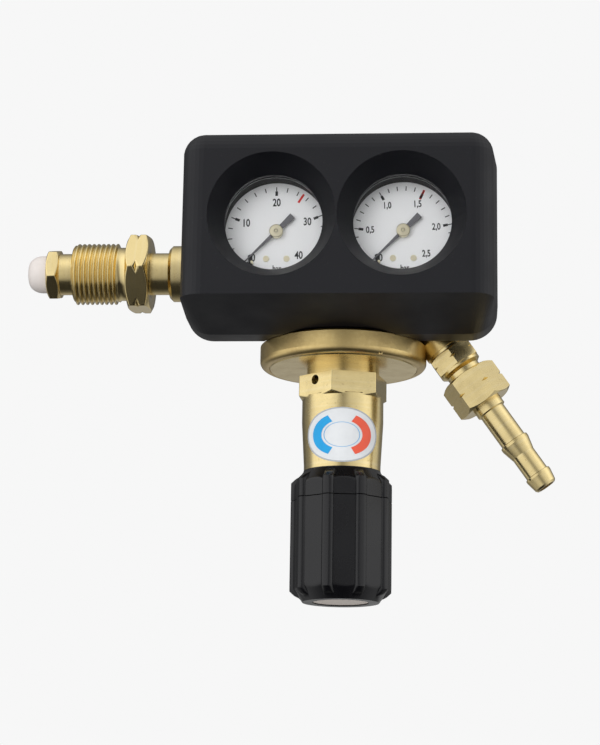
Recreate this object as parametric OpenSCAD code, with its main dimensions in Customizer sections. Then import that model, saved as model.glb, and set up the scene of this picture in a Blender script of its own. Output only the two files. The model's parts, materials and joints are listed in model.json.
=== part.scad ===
// Two-gauge gas cylinder regulator with an adjusting knob and a hose tail.
// The origin is the centre of the inlet thread, on the inlet axis. +X runs from
// the inlet to the body, -Y is the front with the two dials, and +Z is up.

/* [Inlet] */
// Radius over the crests of the left-hand inlet thread
inlet_thread_r = 11.455; // [9.5:0.005:14]
// Length of the inlet thread
inlet_thread_l = 16.6; // [13:0.1:21]
// Length of the plain relief behind the thread
inlet_relief_l = 4.0; // [2:0.1:6]
// Width across the flats of the inlet nut
inlet_nut_af = 27; // [25:0.5:34]
// Length of the inlet nut's hexagon
inlet_nut_l = 8.4; // [6:0.1:12]
// Turn of the inlet nut's corners about its axis, in degrees
inlet_nut_turn = 33.5; // [0:0.5:60]
// Radius of the shank that the inlet nut turns on
shank_r = 7.85; // [6.5:0.05:9]
// Free space between the nose and the inlet nut
nut_play_nose = 5.2; // [2:0.1:8]
// Free space between the inlet nut and the collar
nut_play_collar = 7.2; // [2:0.1:10]
// Width across the flats of the nose
nose_af = 17.6; // [17:0.1:22]
// Length of the nose's hexagon
nose_l = 4.7; // [3.5:0.1:7]
// Turn of the nose's corners about its axis, in degrees
nose_turn = 47.5; // [0:0.5:60]
// Radius of the soft nose seal
seal_r = 7.0; // [6:0.1:8.4]
// How far the nose seal stands out
seal_l = 7.4; // [3.5:0.1:9]
// Radius of the rounded edge of the nose seal
seal_round = 2.8; // [1:0.1:3]
// Radius of the collar on the spindle
collar_r = 10.5; // [9.6:0.1:12]
// Length of the collar on the spindle
collar_l = 8.1; // [6:0.1:12]
// Radius of the gas way through the inlet and the tail
gas_r = 2.5; // [1.5:0.1:3]

/* [Body] */
// Distance from the collar to the axis of the flange and knob
arm_l = 57; // [50:1:70]
// Radius of the horizontal arms
arm_r = 10.9; // [9.5:0.1:12.5]
// Radius of the flange
flange_r = 30.65; // [26:0.05:36]
// Height of the flange's side wall
flange_h = 8.6; // [7.6:0.1:12]
// Distance from the inlet axis down to the top of the flange
flange_drop = 28.4; // [25:0.1:34]
// Width of the flange's rim round the bonnet
rim_w = 3.35; // [2.5:0.05:5]
// Radius of the rounded lower edge of the flange
rim_round = 2.4; // [1:0.1:2.5]

/* [Bonnet] */
// Width across the flats of the bonnet
bonnet_af = 29; // [27:0.5:33]
// Length of the bonnet's hexagon
bonnet_hex_l = 12; // [9:0.5:16]
// Length of the round neck above the bonnet's hexagon
bonnet_neck_l = 3.2; // [1:0.1:4]
// Radius of the round neck above the bonnet's hexagon
bonnet_neck_r = 13.3; // [13:0.1:14.5]
// Length of the bonnet from its flange to the top of the knob
bonnet_l = 38; // [32:0.5:50]
// Radius of the bonnet just below its hexagon
bonnet_r = 14.9; // [14:0.05:15.5]
// Radius of the bonnet's end inside the knob
bonnet_end_r = 14.0; // [13.5:0.05:14.4]
// Turn of the bonnet's front corner to the left, in degrees
bonnet_turn = 15; // [0:1:59]
// Radius of the vent in the bonnet
vent_r = 1.8; // [1:0.1:2.5]
// Radius of the chamber for the adjusting spring
spring_bore_r = 10.7; // [10:0.1:11.5]

/* [Knob] */
// Radius over the ribs of the knob
knob_r = 18.7; // [17.6:0.1:24]
// Length of the knob with its ring
knob_l = 47.7; // [46:0.1:60]
// Length of the ring at the top of the knob
ring_l = 9.0; // [8:0.1:12]
// Number of ribs round the knob
rib_n = 9; // [7:1:11]
// Width of a rib
rib_w = 4.6; // [3:0.1:5]
// Depth of the flats between the ribs
rib_depth = 1.8; // [1:0.1:2]
// Turn of the first rib to the left of the front, in degrees
rib_turn = 16.6; // [0:0.1:39]

/* [Adjusting screw] */
// Radius over the thread of the adjusting screw
screw_r = 6; // [4.5:0.1:7]
// Width across the flats of the screw's hexagonal head
screw_af = 12; // [10:0.1:13]
// Travel of the adjusting screw
screw_travel = 8.25; // [6:0.25:9]
// Wire diameter of the adjusting spring
spring_wire = 2.6; // [2:0.1:3]
// Turns of the adjusting spring
spring_turns = 6; // [4:1:7]

/* [Gauges] */
// Distance between the two dials
gauge_gap = 45.6; // [45.2:0.1:56]
// Height of the dials above the inlet axis
gauge_z = 6.7; // [4:0.1:8]
// Radius of a gauge case
case_r = 20.5; // [17:0.1:20.6]
// Thickness of the wall of a gauge case
case_wall = 1.0; // [0.8:0.1:1.2]
// Depth of a gauge case
case_depth = 24.8; // [24:0.1:30]
// Free ring between the tip of a pointer and the wall of its case
pointer_gap = 3.3; // [2.9:0.1:6]
// Thickness of a gauge lens
lens_t = 2.0; // [1.5:0.1:2.5]
// Teeth on the pinion of a gauge
pinion_teeth = 12; // [12:1:14]
// Gear ratio from the sector to the pinion of a gauge
gear_ratio = 6; // [6:1:7]

/* [Hood] */
// Width of the hood
hood_w = 112.9; // [112:0.1:138]
// Height of the hood's top above the inlet axis
hood_top = 39.4; // [36:0.1:46]
// Depth of the hood in front of its seam
hood_depth = 31.3; // [30.9:0.1:38]
// Depth of the rear cover
cover_depth = 12.7; // [10:0.1:16]
// Wall of the hood and of the rear cover
hood_wall = 2.4; // [2:0.1:2.8]
// Radius of the fillet round the hood's front
hood_fillet = 8; // [5:0.5:9]
// Radius of a window's rim at the front of the hood
window_r = 22.6; // [21:0.1:22.7]
// How far the bottom of a window covers the front of a gauge
window_cover = 3.1; // [2.5:0.1:5]
// Depth of a window
window_depth = 10.7; // [8:0.1:11.2]

/* [Outlet] */
// Slope of the outlet below the horizontal, in degrees
outlet_slope = 55; // [50:1:60]
// Distance from the body's axis to the outlet's axis at the inlet's height
outlet_offset = 17.8; // [15:0.1:22]
// Length of the outlet boss down to the adapter
outlet_boss_l = 36.9; // [34:0.1:46]
// Width across the flats of the adapter
adapter_af = 16; // [14:0.5:18]
// Length of the adapter's hexagon
adapter_hex_l = 6.7; // [5:0.1:9]
// Turn of the adapter's corners about its axis, in degrees
adapter_turn = 35.5; // [0:0.5:60]
// Width across the flats of the outlet nut
outlet_nut_af = 19; // [17:0.5:23]
// Length of the outlet nut
outlet_nut_l = 13.1; // [12:0.1:17]
// Turn of the outlet nut's corners about its axis, in degrees
outlet_nut_turn = 9.5; // [0:0.5:60]
// Radius over the first barb of the hose tail
barb_r = 5.6; // [4.6:0.05:6.8]
// Depth of the hose tail's plain stretches below its first barb
barb_depth = 1.2; // [0.8:0.05:1.4]
// Length of the hose tail out of the outlet nut
tail_l = 37.1; // [34:0.1:46]

/* [Hidden] */
$fn = 96;

// Clearances: a turning or sliding fit, a loose fit and a cut that runs past a face
run = 0.06;
loose = 0.2;
past = 1;

// Places along the inlet axis
thread_start = -inlet_thread_l / 2;
thread_end = inlet_thread_l / 2;
nut_hex_start = thread_end + inlet_relief_l;
nut_end = nut_hex_start + inlet_nut_l;
nose_end = thread_start - nut_play_nose;
nose_start = nose_end - nose_l;
collar_start = nut_end + nut_play_collar;
collar_end = collar_start + collar_l;
spindle_thread_l = 11;
filter_r = gas_r + 1;
spigot_step = 2.2;
spigot_l = 2.5;
filter_l = 14;

// Places of the body
body_x = collar_end + arm_l;
flange_top = -flange_drop;
flange_bottom = flange_top - flange_h;
cup_r = flange_r - rim_w;
chamber_roof = flange_top - 2.4;
ledge_z = chamber_roof - 1.2;
chamber_r = cup_r - 5;
hub_top = arm_r + 2.5;
hub_bore_r = 6;
seat_z = -16;
right_arm_l = 33;
riser_x = 15;
riser_r = 5.5;
boss_r = 8.2;

// The stack that the bonnet clamps: diaphragm, slip ring and bonnet flange
diaphragm_t = 0.8;
slip_t = 0.5;
diaphragm_low = ledge_z - diaphragm_t;
slip_low = diaphragm_low - slip_t;
bonnet_face = flange_bottom - 0.3;
plate_r = 16;
plate_t = 2;
plate_low = diaphragm_low - plate_t;
plate_lift = 0.6;

// Places of the bonnet, the knob and the adjusting screw
bonnet_hex_low = bonnet_face - bonnet_hex_l;
knob_top = bonnet_face - bonnet_l;
bonnet_low = knob_top - 12.7;
bonnet_web = 8;
knob_low = knob_top - knob_l;
seam_z = knob_top - ring_l;
groove_top = knob_top - 4.3;
groove_l = 2.3;
groove_depth = 0.6;
knob_cavity_low = bonnet_low - 1;
screw_tip = knob_top + 5.8;
head_top = bonnet_low - screw_travel - 1.2;
head_l = 9;
socket_low = head_top - head_l - 2.5;
disc_r = 10.1;
disc_t = 1.4;
chamfer_h = 4.1;
chamfer_w = 3.6;
button_t = 4;
button_top = screw_tip + button_t;
ball_r = 2.5;

// Places of the gauges, measured forwards from the knob axis towards the front
cover_back = 11;
cover_front = cover_back + cover_depth;
hood_front_y = cover_front + hood_depth;
window_low = hood_front_y - window_depth;
case_front = window_low - 2;
case_back = case_front - case_depth;
lens_front = case_front - 2.8;
lens_back = lens_front - lens_t;
dial_front = lens_back - 7;
dial_t = 0.7;
dial_back = dial_front - dial_t;
dial_r = case_r - case_wall - 0.7;
pointer_l = case_r - case_wall - pointer_gap;
window_in_r = case_r - window_cover;
pointer_z = dial_front + 1.8;
pointer_t = 0.6;
zero_angle = 225;
stop_angle = zero_angle + 8;
stop_r = 14.3;
stem_r = 4.86;
socket_af = 14;
plate_front = dial_back - 2.3;
movement_t = 0.8;
plate_back = case_back + 3.1;
tube_gap = 4.6;
tube_mid_r = case_r - case_wall - tube_gap;
tube_w = 1.6;
tube_h = 5;
tube_sweep = 250;
movement_r = tube_mid_r - tube_w - 1.4;
pillar_r = 1.2;
pillars = [for (a = [-35, 105]) polar(movement_r - pillar_r - 0.4, a)];
rivet_x = 3.7;
rivet_y = -(movement_r - 2.2);
rivet_r = 1.1;
arbor_r = 0.5;
sector_pitch_r = tube_mid_r - 6.9;
pinion_pitch_r = sector_pitch_r / gear_ratio;
gear_centres = sector_pitch_r + pinion_pitch_r;
gear_t = 1.0;
gear_z = plate_back + 2;
tooth_module = 2 * pinion_pitch_r / pinion_teeth;
pressure_angle = 20;
tooth_thin = 0.05;

// Places of the hood
hood_low = flange_top - 0.9;
crease_rise = 7;
top_corner_r = 7;
low_corner_r = 10;
draft = 1.5;
lip_l = 2.5;
lip_t = 1.2;
lip_inset = hood_wall + 0.1 + lip_l * crease_rise / hood_depth;
screw_inset = 8.4;
cover_screw_r = 1.5;
cover_head_r = 2.9;
cover_head_t = 1.8;
post_r = 3.6;

// The ventilation slots on each side of the rear cover
slot_n = 4;
slot_l = 18;
slot_w = 1.6;
slot_pitch = 5;
slot_low = 7;
slot_inset = 13.4;

// Places along the outlet axis, from the start of the adapter's hexagon, and the fits
// from the barbs up: the outlet nut slides over the barbs and holds the tail's collar
tail_r = barb_r - barb_depth;
tail_shoulder_r = barb_r + 0.05;
outlet_thread_r = tail_shoulder_r + 0.9;
adapter_ring_end = adapter_hex_l + 2.1;
outlet_nut_start = adapter_ring_end + 2.2;
outlet_nut_end = outlet_nut_start + outlet_nut_l;
outlet_lip = 3.4;
adapter_end = outlet_nut_end - outlet_lip - 3.3;
adapter_thread_l = 9;
tail_collar_l = 2.8;
tail_end = outlet_nut_end + tail_l;
tail_bore_r = gas_r + 0.4;
tail_chamfer = min(0.7, (tail_r - tail_bore_r) / 2);

// Frames of the four axes
module on_inlet() rotate([0, 90, 0]) children();
module on_body() translate([body_x, 0, 0]) children();
module on_outlet()
    translate([body_x + outlet_offset + outlet_boss_l * cos(outlet_slope), 0,
               -outlet_boss_l * sin(outlet_slope)])
        rotate([0, 90 + outlet_slope, 0]) children();
module on_gauge(side)
    translate([body_x + side * gauge_gap / 2, 0, gauge_z]) rotate([90, 0, 0]) children();

// A straight piece of round bar between two heights
module bar(z0, z1, r) translate([0, 0, min(z0, z1)]) cylinder(h = abs(z1 - z0), r = r);

// A hexagon between two heights, with its corners chamfered at the ends asked for
module hexagon(z0, z1, af, chamfer_low = true, chamfer_top = true) {
    corner = af / 2 / cos(30);
    cut = corner - af / 2 + 0.25;
    drop = cut * tan(30);
    intersection() {
        translate([0, 0, z0]) cylinder(h = z1 - z0, r = corner, $fn = 6);
        rotate_extrude() polygon([
            [0, z0], [chamfer_low ? corner - cut : corner + 1, z0],
            [corner, chamfer_low ? z0 + drop : z0], [corner, chamfer_top ? z1 - drop : z1],
            [chamfer_top ? corner - cut : corner + 1, z1], [0, z1]]);
    }
}

// The ring that cuts the left-hand marks into the corners of a hexagon
module corner_notch(z, af) {
    depth = (af / 2 / cos(30) - af / 2) * 0.55;
    floor_r = af / 2 / cos(30) - depth;
    rotate_extrude() polygon([
        [floor_r, z], [floor_r + 3 * depth, z - 2 * depth], [floor_r + 3 * depth, z + 2 * depth]]);
}

// A round wire wound into a spring between two heights, with closed flat ends
module spring(z0, z1, mid_r, wire, turns) {
    steps = 20;
    sides = 8;
    rings = turns * steps;
    span = z1 - z0 - wire;
    function rise(k) = let (t = k / rings, s = t * turns)
        s < 1 ? 0.5 * wire * s * s :
        s > turns - 1 ? span - 0.5 * wire * (turns - s) * (turns - s) :
        0.5 * wire + (span - wire) * (s - 1) / (turns - 2);
    pts = [for (k = [0:rings]) for (j = [0:sides - 1])
        let (a = 360 * k / steps, b = 360 * j / sides, r = mid_r + wire / 2 * cos(b))
        [r * cos(a), r * sin(a), z0 + wire / 2 + rise(k) + wire / 2 * sin(b)]];
    walls = [for (k = [0:rings - 1]) for (j = [0:sides - 1])
        let (n = (j + 1) % sides)
        [k * sides + j, (k + 1) * sides + j, (k + 1) * sides + n, k * sides + n]];
    caps = [[for (j = [0:sides - 1]) j], [for (j = [sides - 1:-1:0]) rings * sides + j]];
    polyhedron(pts, concat(walls, caps), convexity = 6);
}

// Gear teeth with involute flanks
function unwind(r, base) = r <= base ? 0 : sqrt(pow(r / base, 2) - 1);
function flank(r, base) = let (t = unwind(r, base)) t * 180 / PI - atan(t);
function polar(r, a) = [r * cos(a), r * sin(a)];
module tooth(pitch_r, teeth, angle) {
    base = pitch_r * cos(pressure_angle);
    root = pitch_r - 1.25 * tooth_module;
    tip = pitch_r + 0.9 * tooth_module;
    half = 90 / teeth - tooth_thin / 2 / pitch_r * 180 / PI;
    low = max(base, root * 1.004);
    rs = [for (i = [0:5]) low + (tip - low) * i / 5];
    side = [for (r = rs) polar(r, half + flank(pitch_r, base) - flank(r, base))];
    foot = polar(root - 0.08, half + flank(pitch_r, base));
    right = [for (p = concat([foot], side)) [p[0], -p[1]]];
    left = [for (i = [len(side) - 1:-1:0]) side[i]];
    rotate(angle) polygon(concat(right, left, [foot]));
}

// The forged valve body: two arms, a hub, risers, gauge bosses, an outlet boss and a flange cup
module valve_body() color("goldenrod") difference() {
    union() {
        on_inlet() rotate_extrude() polygon([
            [0, collar_end], [arm_r - 1, collar_end], [arm_r, collar_end + 1],
            [arm_r, body_x + right_arm_l - 2], [arm_r - 2, body_x + right_arm_l],
            [0, body_x + right_arm_l]]);
        on_body() {
            rotate_extrude() polygon([
                [0, hub_top], [arm_r - 0.6, hub_top], [arm_r, hub_top - 0.6],
                [arm_r, flange_top + 3], [arm_r + 1, flange_top + 1],
                [arm_r + 3, flange_top], [0, flange_top]]);
            for (s = [-1, 1]) translate([s * riser_x, 0, 0]) bar(flange_top, 0, riser_r);
            flange();
        }
        for (s = [-1, 1]) on_gauge(s) bar(0, cover_back, boss_r);
        on_outlet() bar(-outlet_boss_l, -1, boss_r + 0.3);
    }
    body_bores();
}

// The flange with its rounded lower edge
module flange() rotate_extrude() {
    polygon([
        [0, flange_top], [flange_r - 0.8, flange_top], [flange_r, flange_top - 0.8],
        [flange_r, flange_bottom + rim_round], [flange_r - rim_round, flange_bottom + rim_round],
        [flange_r - rim_round, flange_bottom], [0, flange_bottom]]);
    translate([flange_r - rim_round, flange_bottom + rim_round]) circle(rim_round);
}

// Every bore and chamber of the valve body
module body_bores() {
    on_inlet() {
        bar(collar_end - past, collar_end + spindle_thread_l, shank_r - 1);
        bar(collar_end, body_x, gas_r + 0.5);
        bar(body_x + riser_x - 3, body_x + outlet_offset + 8, gas_r + 0.5);
    }
    on_body() {
        bar(seat_z, hub_top + past, hub_bore_r);
        bar(flange_bottom, seat_z + 1, hub_bore_r - 1);
        translate([riser_x, 0, 0]) bar(flange_bottom, 0, gas_r - 0.3);
        rotate_extrude() polygon([
            [0, flange_bottom - past], [cup_r, flange_bottom - past], [cup_r, ledge_z],
            [chamber_r, ledge_z], [chamber_r, chamber_roof], [0, chamber_roof]]);
        rotate([0, 0, -60]) translate([flange_r - 0.9, 0, flange_bottom]) sphere(r = 0.9, $fn = 24);
    }
    for (s = [-1, 1]) on_gauge(s) {
        bar(1, cover_back + past, stem_r);
        translate([0, -gauge_z, 0]) bar(0, 3, gas_r - 1);
    }
    for (s = [-1, 1]) translate([body_x + s * gauge_gap / 2, -3, 0]) bar(0, gauge_z, gas_r - 1);
    on_outlet() {
        bar(-adapter_thread_l - 1, 0, outlet_thread_r);
        bar(-outlet_boss_l, 0, gas_r + 0.5);
    }
}

// The plug that closes the valve chamber, with its own hexagon
module hub_plug() color("khaki") on_body() difference() {
    union() {
        hexagon(hub_top, hub_top + 6, 17, false, true);
        bar(hub_top - 7, hub_top, hub_bore_r);
    }
    bar(hub_top - 7 - past, hub_top - 3, 3.4);
    plug_seal_ring(loose);
}

// The soft ring in a groove under the plug's hexagon
module plug_seal_ring(gap = 0)
    rotate_extrude() translate([hub_bore_r - 0.8, hub_top - 4.5]) circle(r = 0.8 + gap / 4, $fn = 32);
module plug_seal() color("black") on_body() plug_seal_ring();

// The nozzle with the valve seat, pressed into the hub from above
module valve_nozzle() color("khaki") on_body() rotate_extrude() polygon([
    [1.6, seat_z], [hub_bore_r, seat_z], [hub_bore_r, seat_z + 4], [2.6, seat_z + 4],
    [2.2, seat_z + 4.6], [1.6, seat_z + 4.6]]);

// The valve that the seat stops, with the pin that the diaphragm pushes
module valve_poppet() color("silver") on_body() {
    bar(seat_z + 4.66, seat_z + 10, hub_bore_r - 1.4);
    bar(seat_z + 10, seat_z + 13, 2.1);
    bar(ledge_z + run, seat_z + 4.66, 1.1);
}

// The spring that closes the valve
module valve_spring() color("silver") on_body()
    spring(seat_z + 10.05, hub_top - 3.05, 2.75, 0.7, 7);

// The rubber diaphragm, the slip ring and the plate that the adjusting spring pushes
module diaphragm() color("dimgray") on_body() bar(diaphragm_low, ledge_z, cup_r - run);
module slip_ring() color("silver") on_body() difference() {
    bar(slip_low, diaphragm_low, cup_r - run);
    bar(slip_low - past, diaphragm_low + past, plate_r + 4);
}
module diaphragm_plate() color("silver") on_body() difference() {
    union() {
        bar(plate_low, diaphragm_low, plate_r);
        bar(plate_low - 2.5, plate_low, spring_mid_r() - spring_wire / 2 - loose);
    }
    bar(plate_low - 2.5 - past, plate_low, 3);
}
function spring_mid_r() = spring_bore_r - spring_wire / 2 - 0.5;

// The bonnet: a clamping flange, a hexagon and a tapered spring housing
module bonnet() color("gold") on_body() difference() {
    union() {
        rotate_extrude() polygon([
            [0, slip_low], [cup_r - run, slip_low], [cup_r - run, bonnet_face + 0.4],
            [cup_r - run - 0.4, bonnet_face], [0, bonnet_face]]);
        rotate([0, 0, bonnet_turn])
            hexagon(bonnet_hex_low, bonnet_face - bonnet_neck_l, bonnet_af, true, false);
        bar(bonnet_hex_low + 1, bonnet_face + 1, bonnet_neck_r);
        rotate_extrude() polygon([
            [0, bonnet_hex_low + 1], [bonnet_r, bonnet_hex_low + 1], [bonnet_r, bonnet_hex_low - 8],
            [bonnet_end_r, knob_top + 2], [bonnet_end_r, groove_top],
            [bonnet_end_r - groove_depth, groove_top],
            [bonnet_end_r - groove_depth, groove_top - groove_l],
            [bonnet_end_r, groove_top - groove_l], [bonnet_end_r, bonnet_low + 0.6],
            [bonnet_end_r - 0.6, bonnet_low], [0, bonnet_low]]);
    }
    bar(plate_low - plate_lift - 1, slip_low + past, plate_r + 2);
    bar(bonnet_low + bonnet_web, slip_low, spring_bore_r);
    bar(bonnet_low - past, bonnet_low + bonnet_web + past, screw_r + run);
    rotate([0, 0, 210 + bonnet_turn]) translate([0, 0, bonnet_face - 5.7]) rotate([0, 90, 0])
        bar(spring_bore_r - past, bonnet_af, vent_r);
}

// The spindle: a shank for the inlet nut, a collar and a thread into the body
module inlet_spindle() color("gold") on_inlet() difference() {
    rotate_extrude() polygon([
        [0, thread_start - 1], [shank_r, thread_start - 1], [shank_r, collar_start],
        [collar_r - 1.2, collar_start], [collar_r, collar_start + 1.2], [collar_r, collar_end],
        [shank_r - 1, collar_end], [shank_r - 1, collar_end + spindle_thread_l - 0.5],
        [0, collar_end + spindle_thread_l - 0.5]]);
    bar(thread_start - 1 - past, thread_start - 1 + filter_l, filter_r);
    bar(thread_start, collar_end + spindle_thread_l, gas_r);
}

// The hexagonal nose on the end of the spindle, and the neck that joins them
module inlet_nose() color("gold") on_inlet() difference() {
    union() {
        rotate([0, 0, nose_turn]) hexagon(nose_start, nose_end, nose_af);
        bar(nose_end, thread_start - 1, shank_r - 0.1);
    }
    bar(nose_start - past, nose_start + spigot_l, seal_r - spigot_step);
    bar(nose_start, thread_start, gas_r);
}

// The white soft seal that meets the cylinder valve, with a spigot in the nose
module nose_seal() color("white") on_inlet() difference() {
    rotate_extrude() {
        intersection() {
            translate([seal_r - seal_round, nose_start - seal_l + seal_round]) circle(seal_round);
            translate([0, nose_start - seal_l - past]) square([seal_r + past, seal_round + past]);
        }
        polygon([
            [0, nose_start - seal_l], [seal_r - seal_round, nose_start - seal_l],
            [seal_r - seal_round, nose_start - seal_l + seal_round],
            [seal_r, nose_start - seal_l + seal_round], [seal_r, nose_start],
            [seal_r - spigot_step, nose_start], [seal_r - spigot_step, nose_start + spigot_l],
            [0, nose_start + spigot_l]]);
    }
    bar(nose_start - seal_l - past, nose_start + spigot_l + past, gas_r);
}

// The sintered filter inside the spindle
module inlet_filter() color("peru") on_inlet() difference() {
    bar(thread_start - 1, thread_start - 1 + filter_l - 0.5, filter_r);
    bar(thread_start - 1 - past, thread_start - 3 + filter_l - 0.5, 1.5);
}

// The captive inlet nut, a male thread and a hexagon with left-hand marks
module inlet_nut() color("gold") on_inlet() difference() {
    union() {
        rotate_extrude() polygon([
            [0, thread_start], [inlet_thread_r - 1.2, thread_start],
            [inlet_thread_r, thread_start + 0.8], [inlet_thread_r, thread_end],
            [inlet_thread_r - 1.45, thread_end + 0.8], [inlet_thread_r - 1.45, nut_hex_start + 1],
            [0, nut_hex_start + 1]]);
        rotate([0, 0, inlet_nut_turn])
            hexagon(nut_hex_start, nut_end, inlet_nut_af);
    }
    bar(thread_start - past, nut_end + past, shank_r + run);
    corner_notch((nut_hex_start + nut_end) / 2, inlet_nut_af);
}

// The adapter between the body and the hose tail
module outlet_adapter() color("gold") on_outlet() difference() {
    union() {
        bar(-adapter_thread_l, 0, outlet_thread_r);
        rotate([0, 0, adapter_turn]) hexagon(0, adapter_hex_l, adapter_af, true, false);
        rotate_extrude() polygon([
            [0, adapter_hex_l], [adapter_af / 2, adapter_hex_l],
            [adapter_af / 2, adapter_ring_end - 1.1], [outlet_thread_r, adapter_ring_end],
            [outlet_thread_r, adapter_end], [0, adapter_end]]);
    }
    bar(-adapter_thread_l - past, adapter_end + past, gas_r + 0.5);
    rotate_extrude() polygon([
        [0, adapter_end - 2.6], [gas_r + 0.5, adapter_end - 2.6],
        [outlet_thread_r - 1.3, adapter_end + 0.01], [0, adapter_end + 0.01]]);
    corner_notch(adapter_hex_l / 2, adapter_af);
}

// The washer that seals the adapter on its boss
module outlet_washer() color("peru") on_outlet() difference() {
    bar(-1, 0, adapter_af / 2);
    bar(-1 - past, past, outlet_thread_r);
}

// The union nut that holds the hose tail
module outlet_nut() color("gold") on_outlet() difference() {
    rotate([0, 0, outlet_nut_turn]) hexagon(outlet_nut_start, outlet_nut_end, outlet_nut_af);
    bar(outlet_nut_start - past, outlet_nut_end - outlet_lip, outlet_thread_r + run);
    bar(outlet_nut_start, outlet_nut_end + past, tail_shoulder_r + run);
    corner_notch((outlet_nut_start + outlet_nut_end) / 2, outlet_nut_af);
}

// The hose tail with its two barbs
module hose_tail() color("gold") on_outlet() difference() {
    collar_z = outlet_nut_end - outlet_lip - run - tail_collar_l;
    rotate_extrude() polygon([
        [0, adapter_end - 2.2], [gas_r + 0.6, adapter_end - 2.2],
        [outlet_thread_r - 1.8, adapter_end], [outlet_thread_r - 1.8, collar_z],
        [outlet_thread_r, collar_z], [outlet_thread_r, collar_z + tail_collar_l],
        [tail_shoulder_r, collar_z + tail_collar_l], [tail_shoulder_r, outlet_nut_end + 2.9],
        [tail_shoulder_r - 0.6, outlet_nut_end + 3.3], [tail_r + 0.5, outlet_nut_end + 3.3],
        [tail_r + 0.5, tail_end - 20.3], [barb_r - 0.15, tail_end - 20.3],
        [barb_r, tail_end - 20.1], [barb_r, tail_end - 19.1], [tail_r + 0.1, tail_end - 14.5],
        [tail_r, tail_end - 14.5], [tail_r, tail_end - 5.6], [barb_r - 0.75, tail_end - 5.6],
        [barb_r - 0.6, tail_end - 5.4], [barb_r - 0.6, tail_end - 4.6],
        [tail_r - 0.1, tail_end - tail_chamfer], [tail_r - tail_chamfer, tail_end],
        [0, tail_end]]);
    bar(adapter_end - 3, tail_end + past, tail_bore_r);
}

// The knob's outer form, ribs with flats between them, chamfered at both ends
module knob_form(z0, z1) {
    flat_r = knob_r - rib_depth;
    intersection() {
        union() {
            intersection() {
                bar_polygon(flat_r / cos(180 / rib_n));
                knob_envelope(flat_r + 1.2, 1.2);
            }
            intersection() {
                for (i = [0:rib_n - 1]) rotate(360 * i / rib_n) rib();
                knob_envelope(knob_r, 0);
            }
        }
        bar(z0, z1, knob_r + past);
    }
}
module bar_polygon(r) translate([0, 0, knob_low]) cylinder(h = knob_l, r = r, $fn = rib_n);
module knob_envelope(r, dip) rotate_extrude() polygon([
    [0, knob_top - dip / 2], [knob_r - chamfer_w - dip / 3, knob_top - dip / 2],
    [knob_r - chamfer_w + dip / 3, knob_top - 0.3 - dip / 2], [r, knob_top - chamfer_h - dip / 4],
    [r, knob_low + chamfer_h], [knob_r - chamfer_w + 0.3, knob_low + 0.3 + dip],
    [knob_r - chamfer_w, knob_low], [0, knob_low]]);
module rib() {
    edge = 0.9;
    translate([0, 0, knob_low]) linear_extrude(knob_l) {
        translate([knob_r - 6, -rib_w / 2 - 0.3]) square([6 - edge, rib_w + 0.6]);
        translate([knob_r - 6, -rib_w / 2 + edge]) square([6, rib_w - 2 * edge]);
        for (s = [-1, 1]) translate([knob_r - edge, s * (rib_w / 2 - edge)]) circle(edge, $fn = 32);
    }
}

// The knob, with a hexagonal socket in which the screw's head slides
module knob() color("dimgray") on_body() difference() {
    rotate(270 - rib_turn) knob_form(knob_low, seam_z);
    bar(knob_cavity_low, seam_z + past, bonnet_end_r + 1);
    bar(seam_z - 2, seam_z + past, bonnet_end_r + 1.8);
    translate([0, 0, socket_low]) cylinder(
        h = knob_top - socket_low, r = (screw_af / 2 + run) / cos(30), $fn = 6);
    difference() {
        bar(socket_low, knob_cavity_low + past, bonnet_end_r);
        bar(socket_low - past, knob_cavity_low, screw_af / 2 / cos(30) + 1.6);
        for (a = [0:60:300]) rotate(a) translate([0, -0.8, socket_low - past])
            cube([bonnet_end_r + past, 1.6, knob_cavity_low - socket_low + past]);
    }
    bar(knob_low - past, knob_low + disc_t + 0.4, disc_r);
}

// The ring that snaps into the bonnet's groove and carries the knob
module knob_ring() color("dimgray") on_body() difference() {
    union() {
        rotate(270 - rib_turn) knob_form(seam_z, knob_top);
        bar(seam_z - 2, seam_z, bonnet_end_r + 1.8);
    }
    bar(seam_z - 2 - past, groove_top - groove_l + 0.2, bonnet_end_r + run);
    bar(groove_top - groove_l, groove_top, bonnet_end_r - groove_depth + run);
    bar(groove_top - 0.2, knob_top + past, bonnet_end_r + run);
}
module knob_disc() color("tan") on_body()
    bar(knob_low + 0.4, knob_low + 0.4 + disc_t, disc_r);

// The adjusting screw with its thrust ball and the button under the spring
module adjusting_screw() color("silver") on_body() difference() {
    union() {
        bar(head_top, screw_tip - 1, screw_r);
        bar(screw_tip - 1, screw_tip, screw_r - 1);
        translate([0, 0, head_top - head_l])
            cylinder(h = head_l, r = screw_af / 2 / cos(30), $fn = 6);
    }
    translate([0, 0, screw_tip + 0.6]) sphere(r = ball_r + run);
}
module thrust_ball() color("silver") on_body() translate([0, 0, screw_tip + 0.6]) sphere(r = ball_r);
module spring_button() color("silver") on_body() difference() {
    union() {
        bar(screw_tip + run, button_top, spring_bore_r - 0.3);
        bar(button_top, button_top + 3, spring_mid_r() - spring_wire / 2 - loose);
    }
    translate([0, 0, screw_tip + 0.6]) sphere(r = ball_r);
    bar(button_top - 1, button_top + 3 + past, 1.5);
}
module adjusting_spring() color("darkgray") on_body()
    spring(button_top + 0.05, plate_low - 0.05, spring_mid_r(), spring_wire, spring_turns);

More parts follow.
